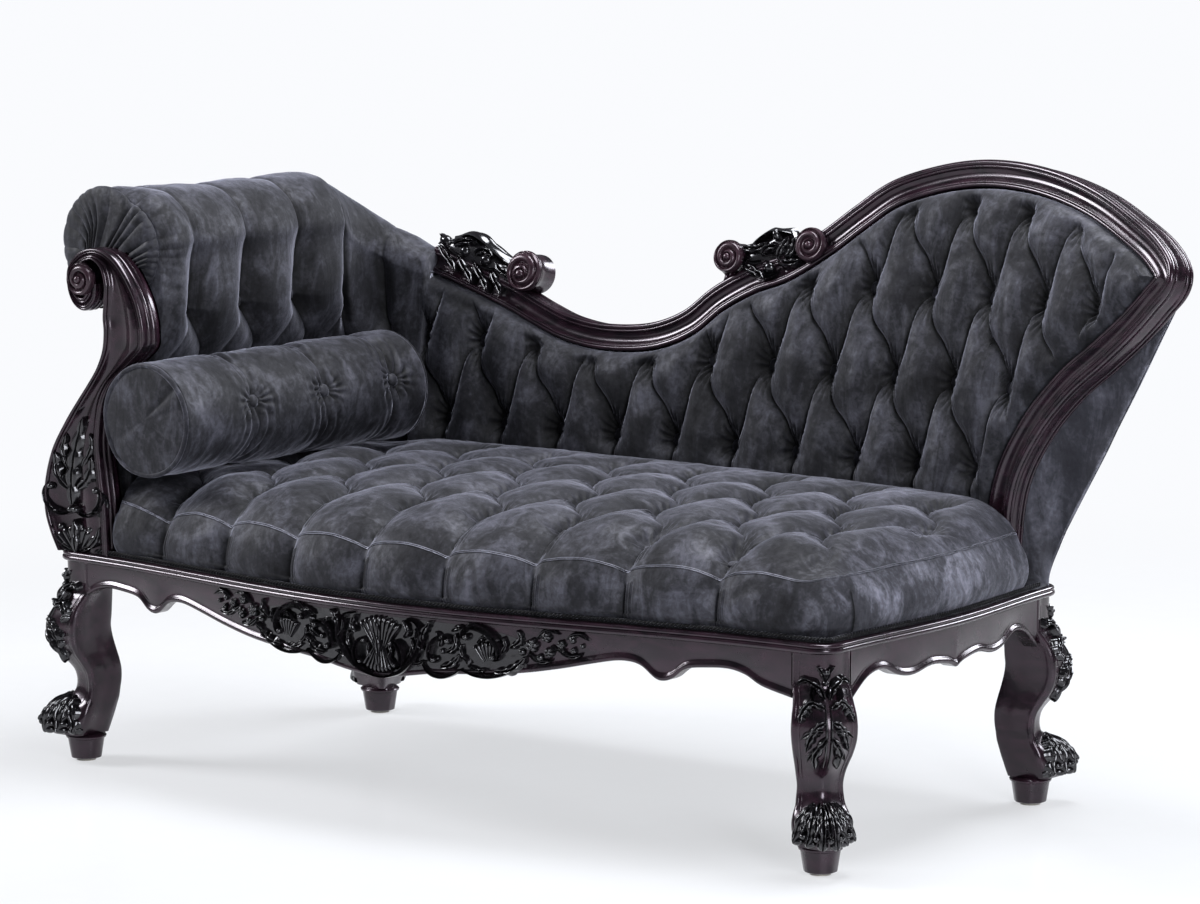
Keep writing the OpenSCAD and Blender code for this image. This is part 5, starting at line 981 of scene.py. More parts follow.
def crest_reliefs():
    at = [np.interp(v[0] * CREST_N, np.arange(WOOD_N), WOOD_RUN) for v in VOLUTES]
    top = [[0, 14], [0.12, 26], [0.28, 42], [0.42, 45], [0.6, 38], [0.8, 30], [1, 20]]
    flowers = ((0.07, 15, 10), (0.33, 12, 11), (0.62, 14, 12), (0.20, -8, 7), (0.50, -10, 7))
    leaves = ([(0.16, 14), (0.26, 26), (0.42, 36)], [(0.46, 14), (0.56, 28), (0.72, 26)],
              [(0.76, 18), (0.86, 10), (0.99, 10)], [(0.02, 4), (0.16, -10), (0.34, -24)],
              [(0.28, 0), (0.42, -14), (0.60, -32)], [(0.50, 0), (0.64, -14), (0.82, -34)],
              [(0.74, 2), (0.86, -12), (1.0, -28)])
    curls = (([(0.02, 24), (0.12, 6), (0.24, 2), (0.42, 4)], 8),
             ([(0.46, 4), (0.58, 0), (0.74, 4), (0.80, 16)], 8))
    crest_block("crest_left_carved", "crest_carving_left", 2.0, at[0] - 24, top, flowers, leaves, curls)
    top = [[0, 30], [0.2, 38], [0.45, 46], [0.6, 48], [0.8, 38], [1, 24]]
    flowers = ((0.66, 36, 12), (0.40, -12, 11), (0.86, 6, 7), (0.16, 26, 7))
    leaves = ([(0.08, 34), (0.26, 24), (0.46, 28)], [(0.30, 10), (0.44, 20), (0.66, 16)],
              [(0.56, -4), (0.70, 10), (0.92, 20)], [(0.04, 6), (0.16, -10), (0.32, -30)],
              [(0.56, -6), (0.72, -18), (0.94, -26)], [(0.98, 16), (0.90, 0), (0.72, -8)])
    curls = (([(0.02, 22), (0.14, 4), (0.34, -2), (0.56, -14)], 9),
             ([(0.10, -8), (0.20, -22), (0.42, -28), (0.58, -20)], 9),
             ([(0.50, 26), (0.58, 8), (0.68, -8), (0.86, -18)], 9),
             ([(0.96, 26), (0.94, 8), (0.86, -8), (0.70, -20)], 9),
             ([(0.24, 34), (0.36, 14), (0.54, 6), (0.76, 22)], 8))
    crest_block("crest_right_carved", "crest_carving_right", at[1] + 14, at[2] - 20, top, flowers, leaves,
                curls)
    # A neck that runs from the rail up to the middle scroll
    neck = Relief(crest_place(-4.0), 18.0)
    neck.mirror = (at[1], 1)
    for off, wide in ((0, 9), (9, 6)):
        neck.strip(even(spline([(-46 + off, -12), (-30 + off, -3), (-20 + off, 8), (-24 + off * 0.6, 24),
                                (-14 + off * 0.4, 40)], 8), 40), wide, 16, BEAD)
    neck.finish("crest_neck_carved", mat=WOOD)


# Upholstery
def cell(a):
    """Place across the folds, 0 on a pleat line to 1 midway, steeper on one side; and the distance."""
    d = a - np.round(a)
    t = np.abs(2 * d)
    return np.where(d > 0, t ** 0.8, t ** 1.25), d


def pleat(a, deep=0.62):
    """A pleat between two full folds: each fold is round and drops steeply into the line."""
    t, _ = cell(a)
    return deep * (1 - np.sqrt(np.maximum(0, 1 - (1 - t) ** 1.75)))


def diamonds(u, w, folds=0.06, bend=0.07):
    """Depth share of diamond tufting: pleats on two slanting sets of lines, a dimple where they cross."""
    a, b = u + w, u - w
    a2, b2 = a + bend * np.sin(2 * math.pi * b), b - bend * np.sin(2 * math.pi * a)
    pa, pb = pleat(a2), pleat(b2)
    _, da = cell(a)
    _, db = cell(b)
    _, ea = cell(a2)
    _, eb = cell(b2)
    r = np.hypot(da, db)
    near = hill(r, 0.15)
    ang = np.arctan2(da, db)
    puckers = folds * hill(r - 0.15, 0.10) * np.sin(ang * 15 + 3 * np.sin(5 * (u + 2 * w)))
    lap = 0.0
    for e, other in ((ea, db), (eb, da)):
        fold = hill(e - 0.07, 0.055) * np.cos((e - 0.05) / 0.024 * math.pi)
        lap = lap + folds * 0.8 * fold * hill(other, 0.3)
    return 1 - (1 - pa) * (1 - pb) * (1 - 0.9 * near) + puckers + lap


def tail(u, folds=0.06):
    """Depth share of the single pleats that run from the first tufts to the edge."""
    _, d = cell(u)
    return pleat(u, 0.8) + folds * hill(d - 0.06, 0.06) * np.cos((d - 0.05) / 0.024 * math.pi)


# Seat
SEAT_X0, SEAT_IN, SEAT_ROUND = -ROLL_X + ROLL_R * 0.3, 22.0, 70.0
SEAT_FIRST = (-365.0, -275.0)
SEAT_REAR = BACK_DEP - BACK_PUFF * 1.4
# How far in the seat's edge rounds and by how much it drops; the same for its front channels and their draw
EDGE_RUN, EDGE_DROP, CHANNEL_RUN, CHANNEL_DRAW, WALL_TUFT = 112.0, 46.0, 62.0, 18.0, 33.0
BOLSTER_C = np.array([-ROLL_X + BOLSTER_R * 1.372, BACK_DEP - BACK_PUFF - 15.0 - BOLSTER_LEN / 2])
BOLSTER_DIR = np.array([math.sin(math.radians(BOLSTER_TURN)), math.cos(math.radians(BOLSTER_TURN))])


def bolster_d(x, y):
    return np.abs((x - BOLSTER_C[0]) * BOLSTER_DIR[1] - (y - BOLSTER_C[1]) * BOLSTER_DIR[0])


def seat_side(y):
    return side_x(y) - SEAT_IN


def seat_front(x):
    e = np.maximum(0, x - (HL - SEAT_IN - SEAT_ROUND)) / SEAT_ROUND
    return front_y(x) + SEAT_IN + SEAT_ROUND * (1 - np.sqrt(1 - np.minimum(0.98, e * e)))


def seat_pattern(x, y):
    u, w = (x - SEAT_FIRST[0]) / SEAT_PITCH, (y - SEAT_FIRST[1]) / (2 * SEAT_ROW)
    front = tail(u) + 0.3 * np.exp(-((np.abs(cell(u)[1]) / 0.16) ** 2 + (w / 0.10) ** 2))
    k = ease(-w * 9)
    return lerp(diamonds(u, w), front, k)


def seat_base(x, y):
    d = bolster_d(x, y) / BOLSTER_R
    q = seat_side(y) - x
    f, h = [1 - (1 - np.clip(e / EDGE_RUN, 0, 1)) ** 2.5 for e in (y - seat_front(x), q)]
    dome = SEAT_CROWN * (1 - (np.abs(x) / HL) ** 3) * (1 - np.abs(2 * y / 660.0) ** 2)
    return SEAT_EDGE_Z + 4 + np.maximum(0, dome) - 12 * np.exp(-2 * d * d) - EDGE_DROP * (1 - f * h)


def seat_fade(x, y):
    q = seat_side(y) - x
    e = ease(np.minimum(x - SEAT_X0, q) / SEAT_PITCH * 1.6)
    f = ease((y - seat_front(x)) / SEAT_ROUND * 1.2)
    g = ease((SEAT_REAR - y) / SEAT_ROW * 2)
    return e * g * (0.7 + 0.3 * f)


def seat_top(x, y):
    """Height of the dressed seat at a place in plan."""
    return seat_base(x, y) - 1.2 * SEAT_TUFT * seat_pattern(x, y) * seat_fade(x, y)


def front_channels(x, y):
    """Depth share of the pleats that run down the seat's front."""
    deep = tail((x - SEAT_FIRST[0]) / SEAT_PITCH, 0.07) * ease((SEAT_FIRST[1] + 20 - y) / 40)
    return deep * ease((HL - 60 - x) / 60) * ease((x - SEAT_X0) / 60)


def seat():
    """The tufted seat: a top that rounds over a pleated wall."""
    nu, nv = 620, 270
    a, b = np.meshgrid(np.linspace(0, 1, nu), np.linspace(0, 1, nv), indexing="ij")
    x, y = lerp(SEAT_X0, HL, a), lerp(-HD, SEAT_REAR, b)
    for _ in range(6):
        x = lerp(SEAT_X0, seat_side(y), a)
        y = lerp(seat_front(x), SEAT_REAR, b)
    p = np.stack([x, y, seat_top(x, y)], -1)
    p[..., 2] += 0.9 * waves(p, 70, 3) + 0.45 * waves(p, 24, 4)
    shape = Shape()
    # The front channels roll over the edge on to the top, drawn in as they are on the wall
    top = p.copy()
    over = front_channels(x, y)
    top[..., 1] += CHANNEL_DRAW * over * (1 - ease((y - seat_front(x)) / CHANNEL_RUN))
    ids = shape.grid(top)
    rim = np.concatenate([ids[:-1, 0], ids[-1, :-1], ids[:0:-1, -1], ids[0, :0:-1]])
    pr = p.reshape(-1, 3)[rim]
    soft = np.concatenate([np.ones(nu - 1), np.ones(nv - 1), np.zeros(nu - 1), np.zeros(nv - 1)])
    soft = np.convolve(np.concatenate([soft[-3:], soft, soft[:3]]), np.ones(7) / 7, "valid")
    t = unit((np.roll(pr, -2, 0) - np.roll(pr, 2, 0)) * [1, 1, 0])
    n_out = np.stack([t[:, 1], -t[:, 0]], 1)
    prof = spline([[0, 1], [0.32, 0.88], [0.63, 0.75], [0.90, 0.60], [1.06, 0.455], [1.08, 0.32],
                   [0.92, 0.18], [0.5, 0.03], [0.2, 0.0]], 5)[1:]
    chan = front_channels(pr[:, 0], pr[:, 1])
    # Three soft pleats gather the cloth round the front right corner
    corner_d = [np.hypot(pr[:, 0] - c[0], pr[:, 1] - c[1]) for c in ((735, -258), (722, -304), (690, -332))]
    for d, deep in zip(corner_d, (0.16, 0.34, 0.2)):
        chan = chan + deep * hill(d, 7.0) + deep * 0.5 * hill(d, 26.0)
    # Deeper at mid height; the pleats close as they reach the braid
    rings = [pr]
    low = CAP_Z + SOFT_GAP
    for s in prof:
        deep = WALL_TUFT * chan * (0.55 + 0.45 * math.sin(math.pi * min(1, s[1] * 1.1))) * soft
        belly = SEAT_IN * s[0] * soft
        q = pr[:, :2] + n_out * (belly - deep * (1 - 0.35 * (s[1] < 0.2)))[:, None]
        z = lerp(low, pr[:, 2], s[1])
        r = np.column_stack([q, z])
        crush = (0.8 * waves(r, 60, 5) + 0.5 * waves(r * [1, 1, 0.4], 18, 6)) * min(1, (1 - s[1]) / 0.3)
        r[:, :2] += n_out * (crush * soft)[:, None]
        rings.append(r)
    wall = np.array(rings)
    wid = shape.grid(wall[1:], wrap_v=True)
    for i in range(len(rim)):
        j = (i + 1) % len(rim)
        shape.face([rim[i], wid[0, i], wid[0, j], rim[j]])
    shape.face(wid[-1])
    ob = build("seat_upholstery", shape, SEAT_VELVET_LIT, nodes=["seat_pad"])
    # The edge is eased where the top meets the wall
    bm = bmesh.new()
    bm.from_mesh(ob.data)
    bm.verts.ensure_lookup_table()
    near = {int(i) for part in (ids[:, :6], ids[-6:], wid[:9]) for i in np.ravel(part)}
    near = [bm.verts[i] for i in sorted(near)]
    for _ in range(14):
        bmesh.ops.smooth_vert(bm, verts=near, factor=0.5, use_axis_x=True, use_axis_y=True, use_axis_z=True)
    bm.to_mesh(ob.data)
    bm.free()


# Back
def pad_edges():
    e = wood_at(np.arange(WOOD_N), np.full(WOOD_N, -BAND_W / 2 - 4 * SOFT_GAP), np.zeros(WOOD_N))
    tip = int(np.argmax(e[:, 0]))
    return e, tip


PAD_EDGE, PAD_TIP = pad_edges()
PAD_X0, PAD_Z = -CREST_LEFT - 7.0, CAP_Z + SOFT_GAP
PAD_X1 = PAD_EDGE[PAD_TIP, 0] - 1.5
PAD_SIDE = PAD_EDGE[:PAD_TIP - 1:-1]
BACK_FIRST = (284.0, 525.0)


def pad_low(x):
    return np.where(x <= PAD_SIDE[0, 0], PAD_Z, np.interp(x, PAD_SIDE[:, 0], PAD_SIDE[:, 2]))


def pad_high(x):
    top = PAD_EDGE[:PAD_TIP + 1]
    return np.interp(x, top[:, 0], top[:, 2])


def pad_in(x, z):
    """Distance in from the pad's wooden edge, in the plane of length and height."""
    line = PAD_EDGE[::2, [0, 2]]
    p = np.stack([x, z], -1).reshape(-1, 2)
    best = np.full(len(p), 1e9)
    for a, b in zip(line[:-1], line[1:]):
        d = b - a
        t = np.clip(((p - a) @ d) / max(d @ d, 1e-9), 0, 1)
        best = np.minimum(best, np.hypot(*(p - a - t[:, None] * d).T))
    return np.minimum(best.reshape(x.shape), (x - PAD_X0) * 2.6 + 12)


def pad_out(x, z):
    o = back_out(x, z)
    e = ease((x - PAD_X0) / BACK_PITCH)
    return unit(np.stack([o[..., 0] * e, o[..., 1], o[..., 2] * e], -1))


def back_pattern(x, z):
    u, w = (x - BACK_FIRST[0]) / BACK_PITCH, (z - BACK_FIRST[1]) / (2 * BACK_ROW)
    return lerp(diamonds(u, w), tail(u), ease(-w * 9))


def pad_depth(x, z, inside):
    roll = 1 - np.clip(inside / 62.0, 0, 1)
    full = 0.10 + 0.96 * np.sqrt(1 - roll * roll)
    return BACK_PUFF * full - BACK_TUFT * back_pattern(x, z) * full ** 2 * ease(inside / 26.0)


def pad_pt(x, z, d):
    return np.stack([x, back_y(x, z), z], -1) + np.asarray(d)[..., None] * pad_out(x, z)


def back():
    """The tufted inside back, with full folds between slanting pleats."""
    nu, nv = 700, 250
    x = np.linspace(PAD_X0, PAD_X1, nu)[:, None] * np.ones((1, nv))
    low, high = pad_low(x[:, 0]), pad_high(x[:, 0])
    high = np.maximum(high, low + 4)
    b = np.linspace(0, 1, nv)[None, :]
    z = lerp(low[:, None], high[:, None], b)
    inside = pad_in(x, z)
    d = pad_depth(x, z, inside)
    near = pad_pt(x, z, d)
    k = ease(inside / 20)
    near += (0.8 * waves(near, 60, 11) + 0.4 * waves(near, 20,
                                                     12))[..., None] * k[..., None] * pad_out(x, z)
    far = pad_pt(x, z, np.full_like(x, 3 * SOFT_GAP))
    shape = Shape()
    shape.plate(near, far, flip=True)
    ob = build("back_upholstery", shape, VELVET, nodes=["back_pad"])


# Arm
FACING_T = 16.0
ARM_Y = POST_Y + POST_T + FACING_T + 2 * SOFT_GAP
FIRST_ARM_TUFT = ARM_Y + 82
ROLL_ANGLES = np.array([-55, -28, 0, 28, 56, 84, 112, 140, 168, 190.0])
ARM_FACE = np.array([[-1.04, 0.838], [-0.99, 0.758], [-0.87, 0.693], [-0.70, 0.640], [-0.46, 0.576],
                     [-0.18, 0.495], [0.0, 0.394], [-0.05, 0.303], [-0.14, 0.232], [-0.14, 0]])
END_FACE = np.array([[-0.15, 0.838], [-0.19, 0.758], [-0.23, 0.693], [-0.26, 0.640], [-0.29, 0.576],
                     [-0.33, 0.495], [-0.35, 0.394], [-0.35, 0.303], [-0.35, 0.232], [-0.35, 0]])
ARM_BACK = np.array([[0.20, 0], [0.24, 0.24], [0.26, 0.40], [0.24, 0.52], [-0.06, 0.62], [-0.40, 0.70],
                     [-0.47, 0.80]])
END_BACK = np.array([[-0.08, 0], [-0.08, 0.24], [-0.08, 0.40], [-0.05, 0.52], [0, 0.62], [0.03, 0.70],
                     [0.06, 0.80]])
SHOULDER_END = -CREST_LEFT - SOFT_GAP
SHOULDER_M = TURN_R * math.pi / 2 / (TURN_R * math.pi / 2 + SHOULDER_END - TURN_X)


def arm_m(m):
    return m * 0.5 + 0.5 * ease(m)


def roll_at(m):
    return np.array([lerp(0, ROLL_R * 0.32, m), lerp(ROLL_Z, SHOULDER_Z, m), lerp(ROLL_R, SHOULDER_R, m)])


def arm_stations(step=3.2):
    """Places along the arm and round to the crest: point, outward direction, share m, walked length."""
    out = []
    for y in np.arange(ARM_Y, TURN_Y, step):
        out.append(((-ROLL_X, y), (-1.0, 0.0), 0.0, y))
    n = int(TURN_R * math.pi / 2 / step)
    for i in range(n):
        a = math.radians(180 - 90 * i / n)
        out.append(((TURN_X + TURN_R * math.cos(a), TURN_Y + TURN_R * math.sin(a)),
                    (math.cos(a), math.sin(a)), SHOULDER_M * i / n, TURN_Y + TURN_R * math.pi / 2 * i / n))
    n = max(6, int((SHOULDER_END - TURN_X) / step))
    for i in range(n + 1):
        out.append(((lerp(TURN_X, SHOULDER_END + 4, i / n), SHOULDER_DEP), (0.0, 1.0),
                    lerp(SHOULDER_M, 1, i / n), TURN_Y + TURN_R * math.pi / 2 + (SHOULDER_END - TURN_X) * i
                    / n))
    return out


def roll_folds(a):
    """Gathers round the roll's front, -1 to 1, by the angle round its middle."""
    return np.abs(np.sin(12 * a + 2.2 * np.sin(2 * a + 0.5) + 1.5 * np.sin(5 * a + 1))) ** 0.6 * 2 - 1


def arm_section(m, tight=1.0, full=1.08):
    """The pad's outer line at one station, 20 knots as the construction has it, made smooth."""
    cx, cz, r = roll_at(m)
    a = np.radians(ROLL_ANGLES)
    r = r * lerp(tight, max(tight, full), np.clip(np.cos(a + 0.25), 0, 1) ** 0.8 * (m < 0.01))
    top = np.stack([cx + r * np.cos(a), cz + r * np.sin(a)], 1)
    f = lerp(ARM_FACE, END_FACE, m)
    drawn = lerp(1.0, tight, np.clip((f[:, 1] - 0.5) / 0.3, 0, 1))
    low = np.stack([ROLL_R * f[:, 0] * drawn, lerp(CAP_Z + SOFT_GAP, cz, f[:, 1])], 1)
    return spline(np.concatenate([top, low]), 13)


def arm_world(s, p):
    return np.stack([s[0][0] + s[1][0] * p[:, 0], s[0][1] + s[1][1] * p[:, 0], p[:, 1]], -1)


def arm():
    """The rolled arm and its shoulder, swept along the arm and round to the crest."""
    stations = arm_stations()
    rings = []
    for s in stations:
        m = arm_m(s[2])
        along = s[3]
        # The roll is drawn in at its front edge, and its outer side is fuller there
        run = along - ARM_Y
        tight = 1.05 - 0.05 * ease((run - 60) / 90) - 0.21 * max(0, 1 - run / 48.0) ** 2.1
        full = 1.08 + 0.27 * (1 - ease((run - 60) / 220)) - 0.1 * max(0, 1 - run / 30.0) ** 2
        p = arm_section(m, tight, full)
        t = unit(np.gradient(p, axis=0))
        inward = np.stack([-t[:, 1], t[:, 0]], 1)
        j = np.linspace(0, 19, len(p))
        strength = ease(run / 40.0) * (1 - ease((s[2] - 0.55) / 0.4))
        # Below the tufts the pleats lean to the rear; over the roll they run straight round it
        lean = np.interp(j, [0, 9.5, 10.6, 13, 19], [0, 0, 0, 0.32, 0.5])
        u = (along - FIRST_ARM_TUFT) / ARM_PITCH - lean
        _, d = cell(u)
        over = np.interp(j, [0, 1, 3, 6, 9, 10.4, 12, 16, 19], [0.1, 0.25, 0.34, 0.42, 0.75, 0.9, 0.6, 0.25,
                                                                0.1])
        u2 = (along - FIRST_ARM_TUFT) / ARM_PITCH + lean * 0.9
        low = ease((j - 10.4) / 1.6)
        band_deep = pleat(u, 0.66) + low * 0.8 * pleat(u2, 0.42)
        spot = hill(j - 10.6, 1.5) * hill(d, 0.19)
        ripples = 0.06 * hill(d - 0.06, 0.07) * np.cos(d / 0.026 * math.pi)
        ripples = ripples * hill(j - 11.0, 4.5)
        deep = ARM_TUFT * strength * (over * band_deep + 0.8 * spot + ripples)
        # Tight gathers where the roll's cloth is drawn over its front edge
        front = np.exp(-run / 30.0) * ease((11.5 - j) / 2)
        gather = -2.4 * front * roll_folds(np.arctan2(p[:, 1] - ROLL_Z, -p[:, 0]))
        p = p + inward * (deep + gather)[:, None]
        back_rows = lerp(ARM_BACK, END_BACK, m)
        cx, cz, _ = roll_at(m)
        back_line = np.stack([ROLL_R * back_rows[:, 0], lerp(CAP_Z + SOFT_GAP, cz, back_rows[:, 1])], 1)
        core = lerp(38.0, SHOULDER_R * 0.4, m) + 8
        ca = np.radians([180, 120, 60, 5, -40])
        if s is stations[-1]:
            ca = np.radians([215, 245, 270, 292, 305])
        inner = np.concatenate([back_line, np.stack([cx + core * np.cos(ca), cz + core * np.sin(ca)], 1)])
        n_out = len(p)
        rings.append(arm_world(s, np.concatenate([p, inner])))
    rings = np.array(rings)
    outer = rings[:, :n_out]
    k = np.linspace(0, 1, len(rings))[:, None]
    uneven = 0.8 * waves(outer, 65, 21) + 0.35 * waves(outer, 22, 22)
    rings[:, :n_out, 2] += uneven * np.sin(math.pi * k) ** 0.3
    shape = Shape()
    shape.tube(rings)
    ob = build("arm_upholstery", shape, VELVET, nodes=["arm_pad"])


def roll_front():
    """The roll's front face: cloth gathered in from the rim, radial folds of uneven width."""
    n, steps = 360, 30
    a = around(n)
    folds = roll_folds(a)
    grid = []
    for i in range(steps):
        t = i / (steps - 1)
        edge = math.pi / 2 * min(1, max(0, (t - 0.45) / 0.55))
        flare = 0.22 + 0.46 * np.clip(-np.cos(a + 0.25), 0, 1) ** 0.8
        r = ROLL_R * (lerp(0.22, 0.62, min(1, t / 0.45)) + flare * math.sin(edge))
        y = ARM_Y - SOFT_GAP - FACING_T * math.cos(edge) * (0.93 + 0.07 * math.cos(math.pi * t))
        amp = 1.7 * math.sin(math.pi * min(1, 0.15 + 0.85 * t)) ** 0.5 + 0.4
        yy = y - amp * folds * math.cos(edge)
        rr = r + amp * folds * math.sin(edge)
        drop = ROLL_R * 0.42 * (1 - min(1, t / 0.6)) ** 1.2
        grid.append(np.stack([-ROLL_X - drop + rr * np.cos(a), np.minimum(yy, ARM_Y - SOFT_GAP),
                              ROLL_Z - drop + rr * np.sin(a)], -1))
    rim = grid[-1].copy()
    rim[:, 1] = ARM_Y - SOFT_GAP
    back_c = rim.copy()
    back_c[:, 0] = -ROLL_X + (rim[:, 0] + ROLL_X) * 0.6
    back_c[:, 2] = ROLL_Z + (rim[:, 2] - ROLL_Z) * 0.6
    shape = Shape()
    shape.tube(np.array(grid + [rim, back_c]))
    build("roll_front_gathers", shape, VELVET, nodes=["roll_facing"])


COVER = np.array([[0.95, 0], [1.22, 0.18], [1.08, 0.33], [0.78, 0.44], [0.46, 0.51], [0.12, 0.62],
                  [-0.06, 0.70], [-0.08, 0.76], [0.10, 0.82]])
END_COVER = np.array([[0.12, 0], [0.16, 0.18], [0.20, 0.33], [0.24, 0.44], [0.27, 0.51], [0.32, 0.62],
                      [0.37, 0.70], [0.42, 0.76], [0.46, 0.86]])


def plan_reach(s):
    if s[1][1] <= 0:
        return HL - ROLL_X
    return 1 / math.sqrt((s[1][0] / TURN_A) ** 2 + (s[1][1] / TURN_B) ** 2) - TURN_R


def arm_cover():
    """The plain velvet outside the arm."""
    near, far = [], []
    for s in arm_stations(9):
        m = arm_m(s[2])
        c = roll_at(m)
        b = plan_reach(s) - SOFT_GAP
        h = lerp(ROLL_R * (COVER[:, 0] - COVER[0, 0]), ROLL_R * (END_COVER[:, 0] - END_COVER[0, 0]), m) + b
        z = lerp(CAP_Z + SOFT_GAP, c[1], lerp(COVER[:, 1], END_COVER[:, 1], m))
        p = even(spline(np.stack([h, z], 1), 8), 70)
        near.append(arm_world(s, p))
        far.append(arm_world(s, p - [COVER_T, 0]))
    near, far = np.array(near), np.array(far)
    wob = (0.7 * waves(near, 130, 31))[..., None] * [0.6, 0.6, 0]
    shape = Shape()
    shape.plate(near + wob, far + wob)
    build("arm_outside_velvet", shape, SHELL_VELVET_LIT, nodes=["outside_arm_cover"])


def back_cover():
    """The outside back, ruled between the frame and the rear of the wood."""
    tip = int(np.argmax(WOOD_LINE[:, 0]))
    stop = BACK_DEP - BACK_PUFF * 1.1
    a = np.radians(np.linspace(90, 0, 13))
    corner_path = np.concatenate([np.stack([HL - CORNER_R + CORNER_R * np.cos(a), HD - CORNER_R
                                            + CORNER_R * np.sin(a)], 1), [[side_x(stop), stop]]])
    idx = np.arange(0, WOOD_N, 3)
    near, far = [], []
    rows = 44
    for i in idx:
        if i <= tip:
            t = (WOOD_LINE[i, 0] - WOOD_LINE[0, 0]) / (WOOD_LINE[tip, 0] - WOOD_LINE[0, 0])
            low = np.array([lerp(SHOULDER_END + 2 * SOFT_GAP, HL - CORNER_R, t), HD])
            inn = np.array([0, -1.0])
        else:
            t = (i - tip) / (WOOD_N - 1 - tip)
            s = t * (len(corner_path) - 1)
            k = min(len(corner_path) - 2, int(s))
            low = lerp(corner_path[k], corner_path[k + 1], s - k)
            inn = np.array([-math.sin(math.pi / 2 * t), -math.cos(math.pi / 2 * t)])
        for off, store in ((COVER_T, near), (0.0, far)):
            e = np.append(low + (SOFT_GAP * 2 + off) * inn, CAP_Z + SOFT_GAP)
            h = wood_at(i, lerp(0.44, 0.1, ease((i - CREST_N) / 60)) * BAND_W, -0.57 * BAND_T - SOFT_GAP
                        - COVER_T + off)
            v = np.linspace(0, 1, rows)[:, None]
            store.append(lerp(e, h, v))
    near, far = np.array(near), np.array(far)
    v = np.linspace(0, 1, rows)[None, :, None]
    u = np.linspace(0, 1, len(idx))[:, None, None]
    n = unit(np.cross(np.gradient(far, axis=0), np.gradient(far, axis=1)))
    if n[len(idx) // 3, rows // 2, 1] < 0:
        n = -n
    belly = 3.0 * np.sin(math.pi * v) * np.sin(math.pi * np.clip(u, 0, 1)) ** 0.5
    belly = belly + 0.6 * waves(far, 140, 33)[..., None] * np.sin(math.pi * v)
    shape = Shape()
    shape.plate(near + n * belly, far + n * belly)
    build("back_outside_velvet", shape, SHELL_VELVET_LIT, nodes=["outside_back_cover"])


# Bolster
BOLSTER_PITCH, TUFT_SHIFT = BOLSTER_LEN * 0.287, BOLSTER_LEN * 0.078
TUFT_ANGLES = np.array([15.0, 135.0, 255.0])
# Depths of the bolster's gathered rings, of the crease in each and of the folds beside it
RING_DEEP, CREASE_DEEP, FOLD_DEEP = 6.4, 2.4, 3.4


def bolster_depth(a, s):
    """Depth of the bolster's buttoned gathers at an angle and a place along it, in millimetres."""
    deep = np.zeros(np.broadcast(a, s).shape)
    for k in (-1, 0, 1):
        ds = s - TUFT_SHIFT - k * BOLSTER_PITCH
        uneven = 0.55 + 0.45 * np.sin(np.radians(2 * a) + 1.7 * k) * np.sin(np.radians(5 * a) + k)
        ring = np.exp(-(np.abs(ds) / 20.0) ** 1.2) * RING_DEEP + hill(ds, 2.6) * CREASE_DEEP
        sway = ds + 11 * np.sin(np.radians(3 * a) + k)
        fold = hill(ds, 30.0) * np.cos(sway / 9.0 * math.pi) * FOLD_DEEP * uneven
        deep = deep + ring + fold
        for b in TUFT_ANGLES:
            w = (a - b + 540) % 360 - 180
            dw = np.radians(w) * BOLSTER_R
            r = np.hypot(dw, ds)
            ang = np.arctan2(dw, ds)
            star = hill(r - 22, 20.0) * np.sin(ang * 13 + 2 * np.sin(ang * 2 + k)) * 1.5
            deep = deep + (BOLSTER_TUFT - 6.5) * hill(r, 25.0) + star * (r > 4)
    return deep


def bolster_pt(a, s, r):
    x = np.cos(np.radians(a)) * r
    return np.stack([BOLSTER_C[0] + BOLSTER_DIR[1] * x + BOLSTER_DIR[0] * s, BOLSTER_C[1] - BOLSTER_DIR[0]
                     * x + BOLSTER_DIR[1] * s, BOLSTER_Z + np.sin(np.radians(a)) * r], -1)


BOLSTER_Z = ORIGIN[2] + (np.array(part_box("bolster_pad")[0])[2]
                         + np.array(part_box("bolster_pad")[1])[2]) / 2 / MM


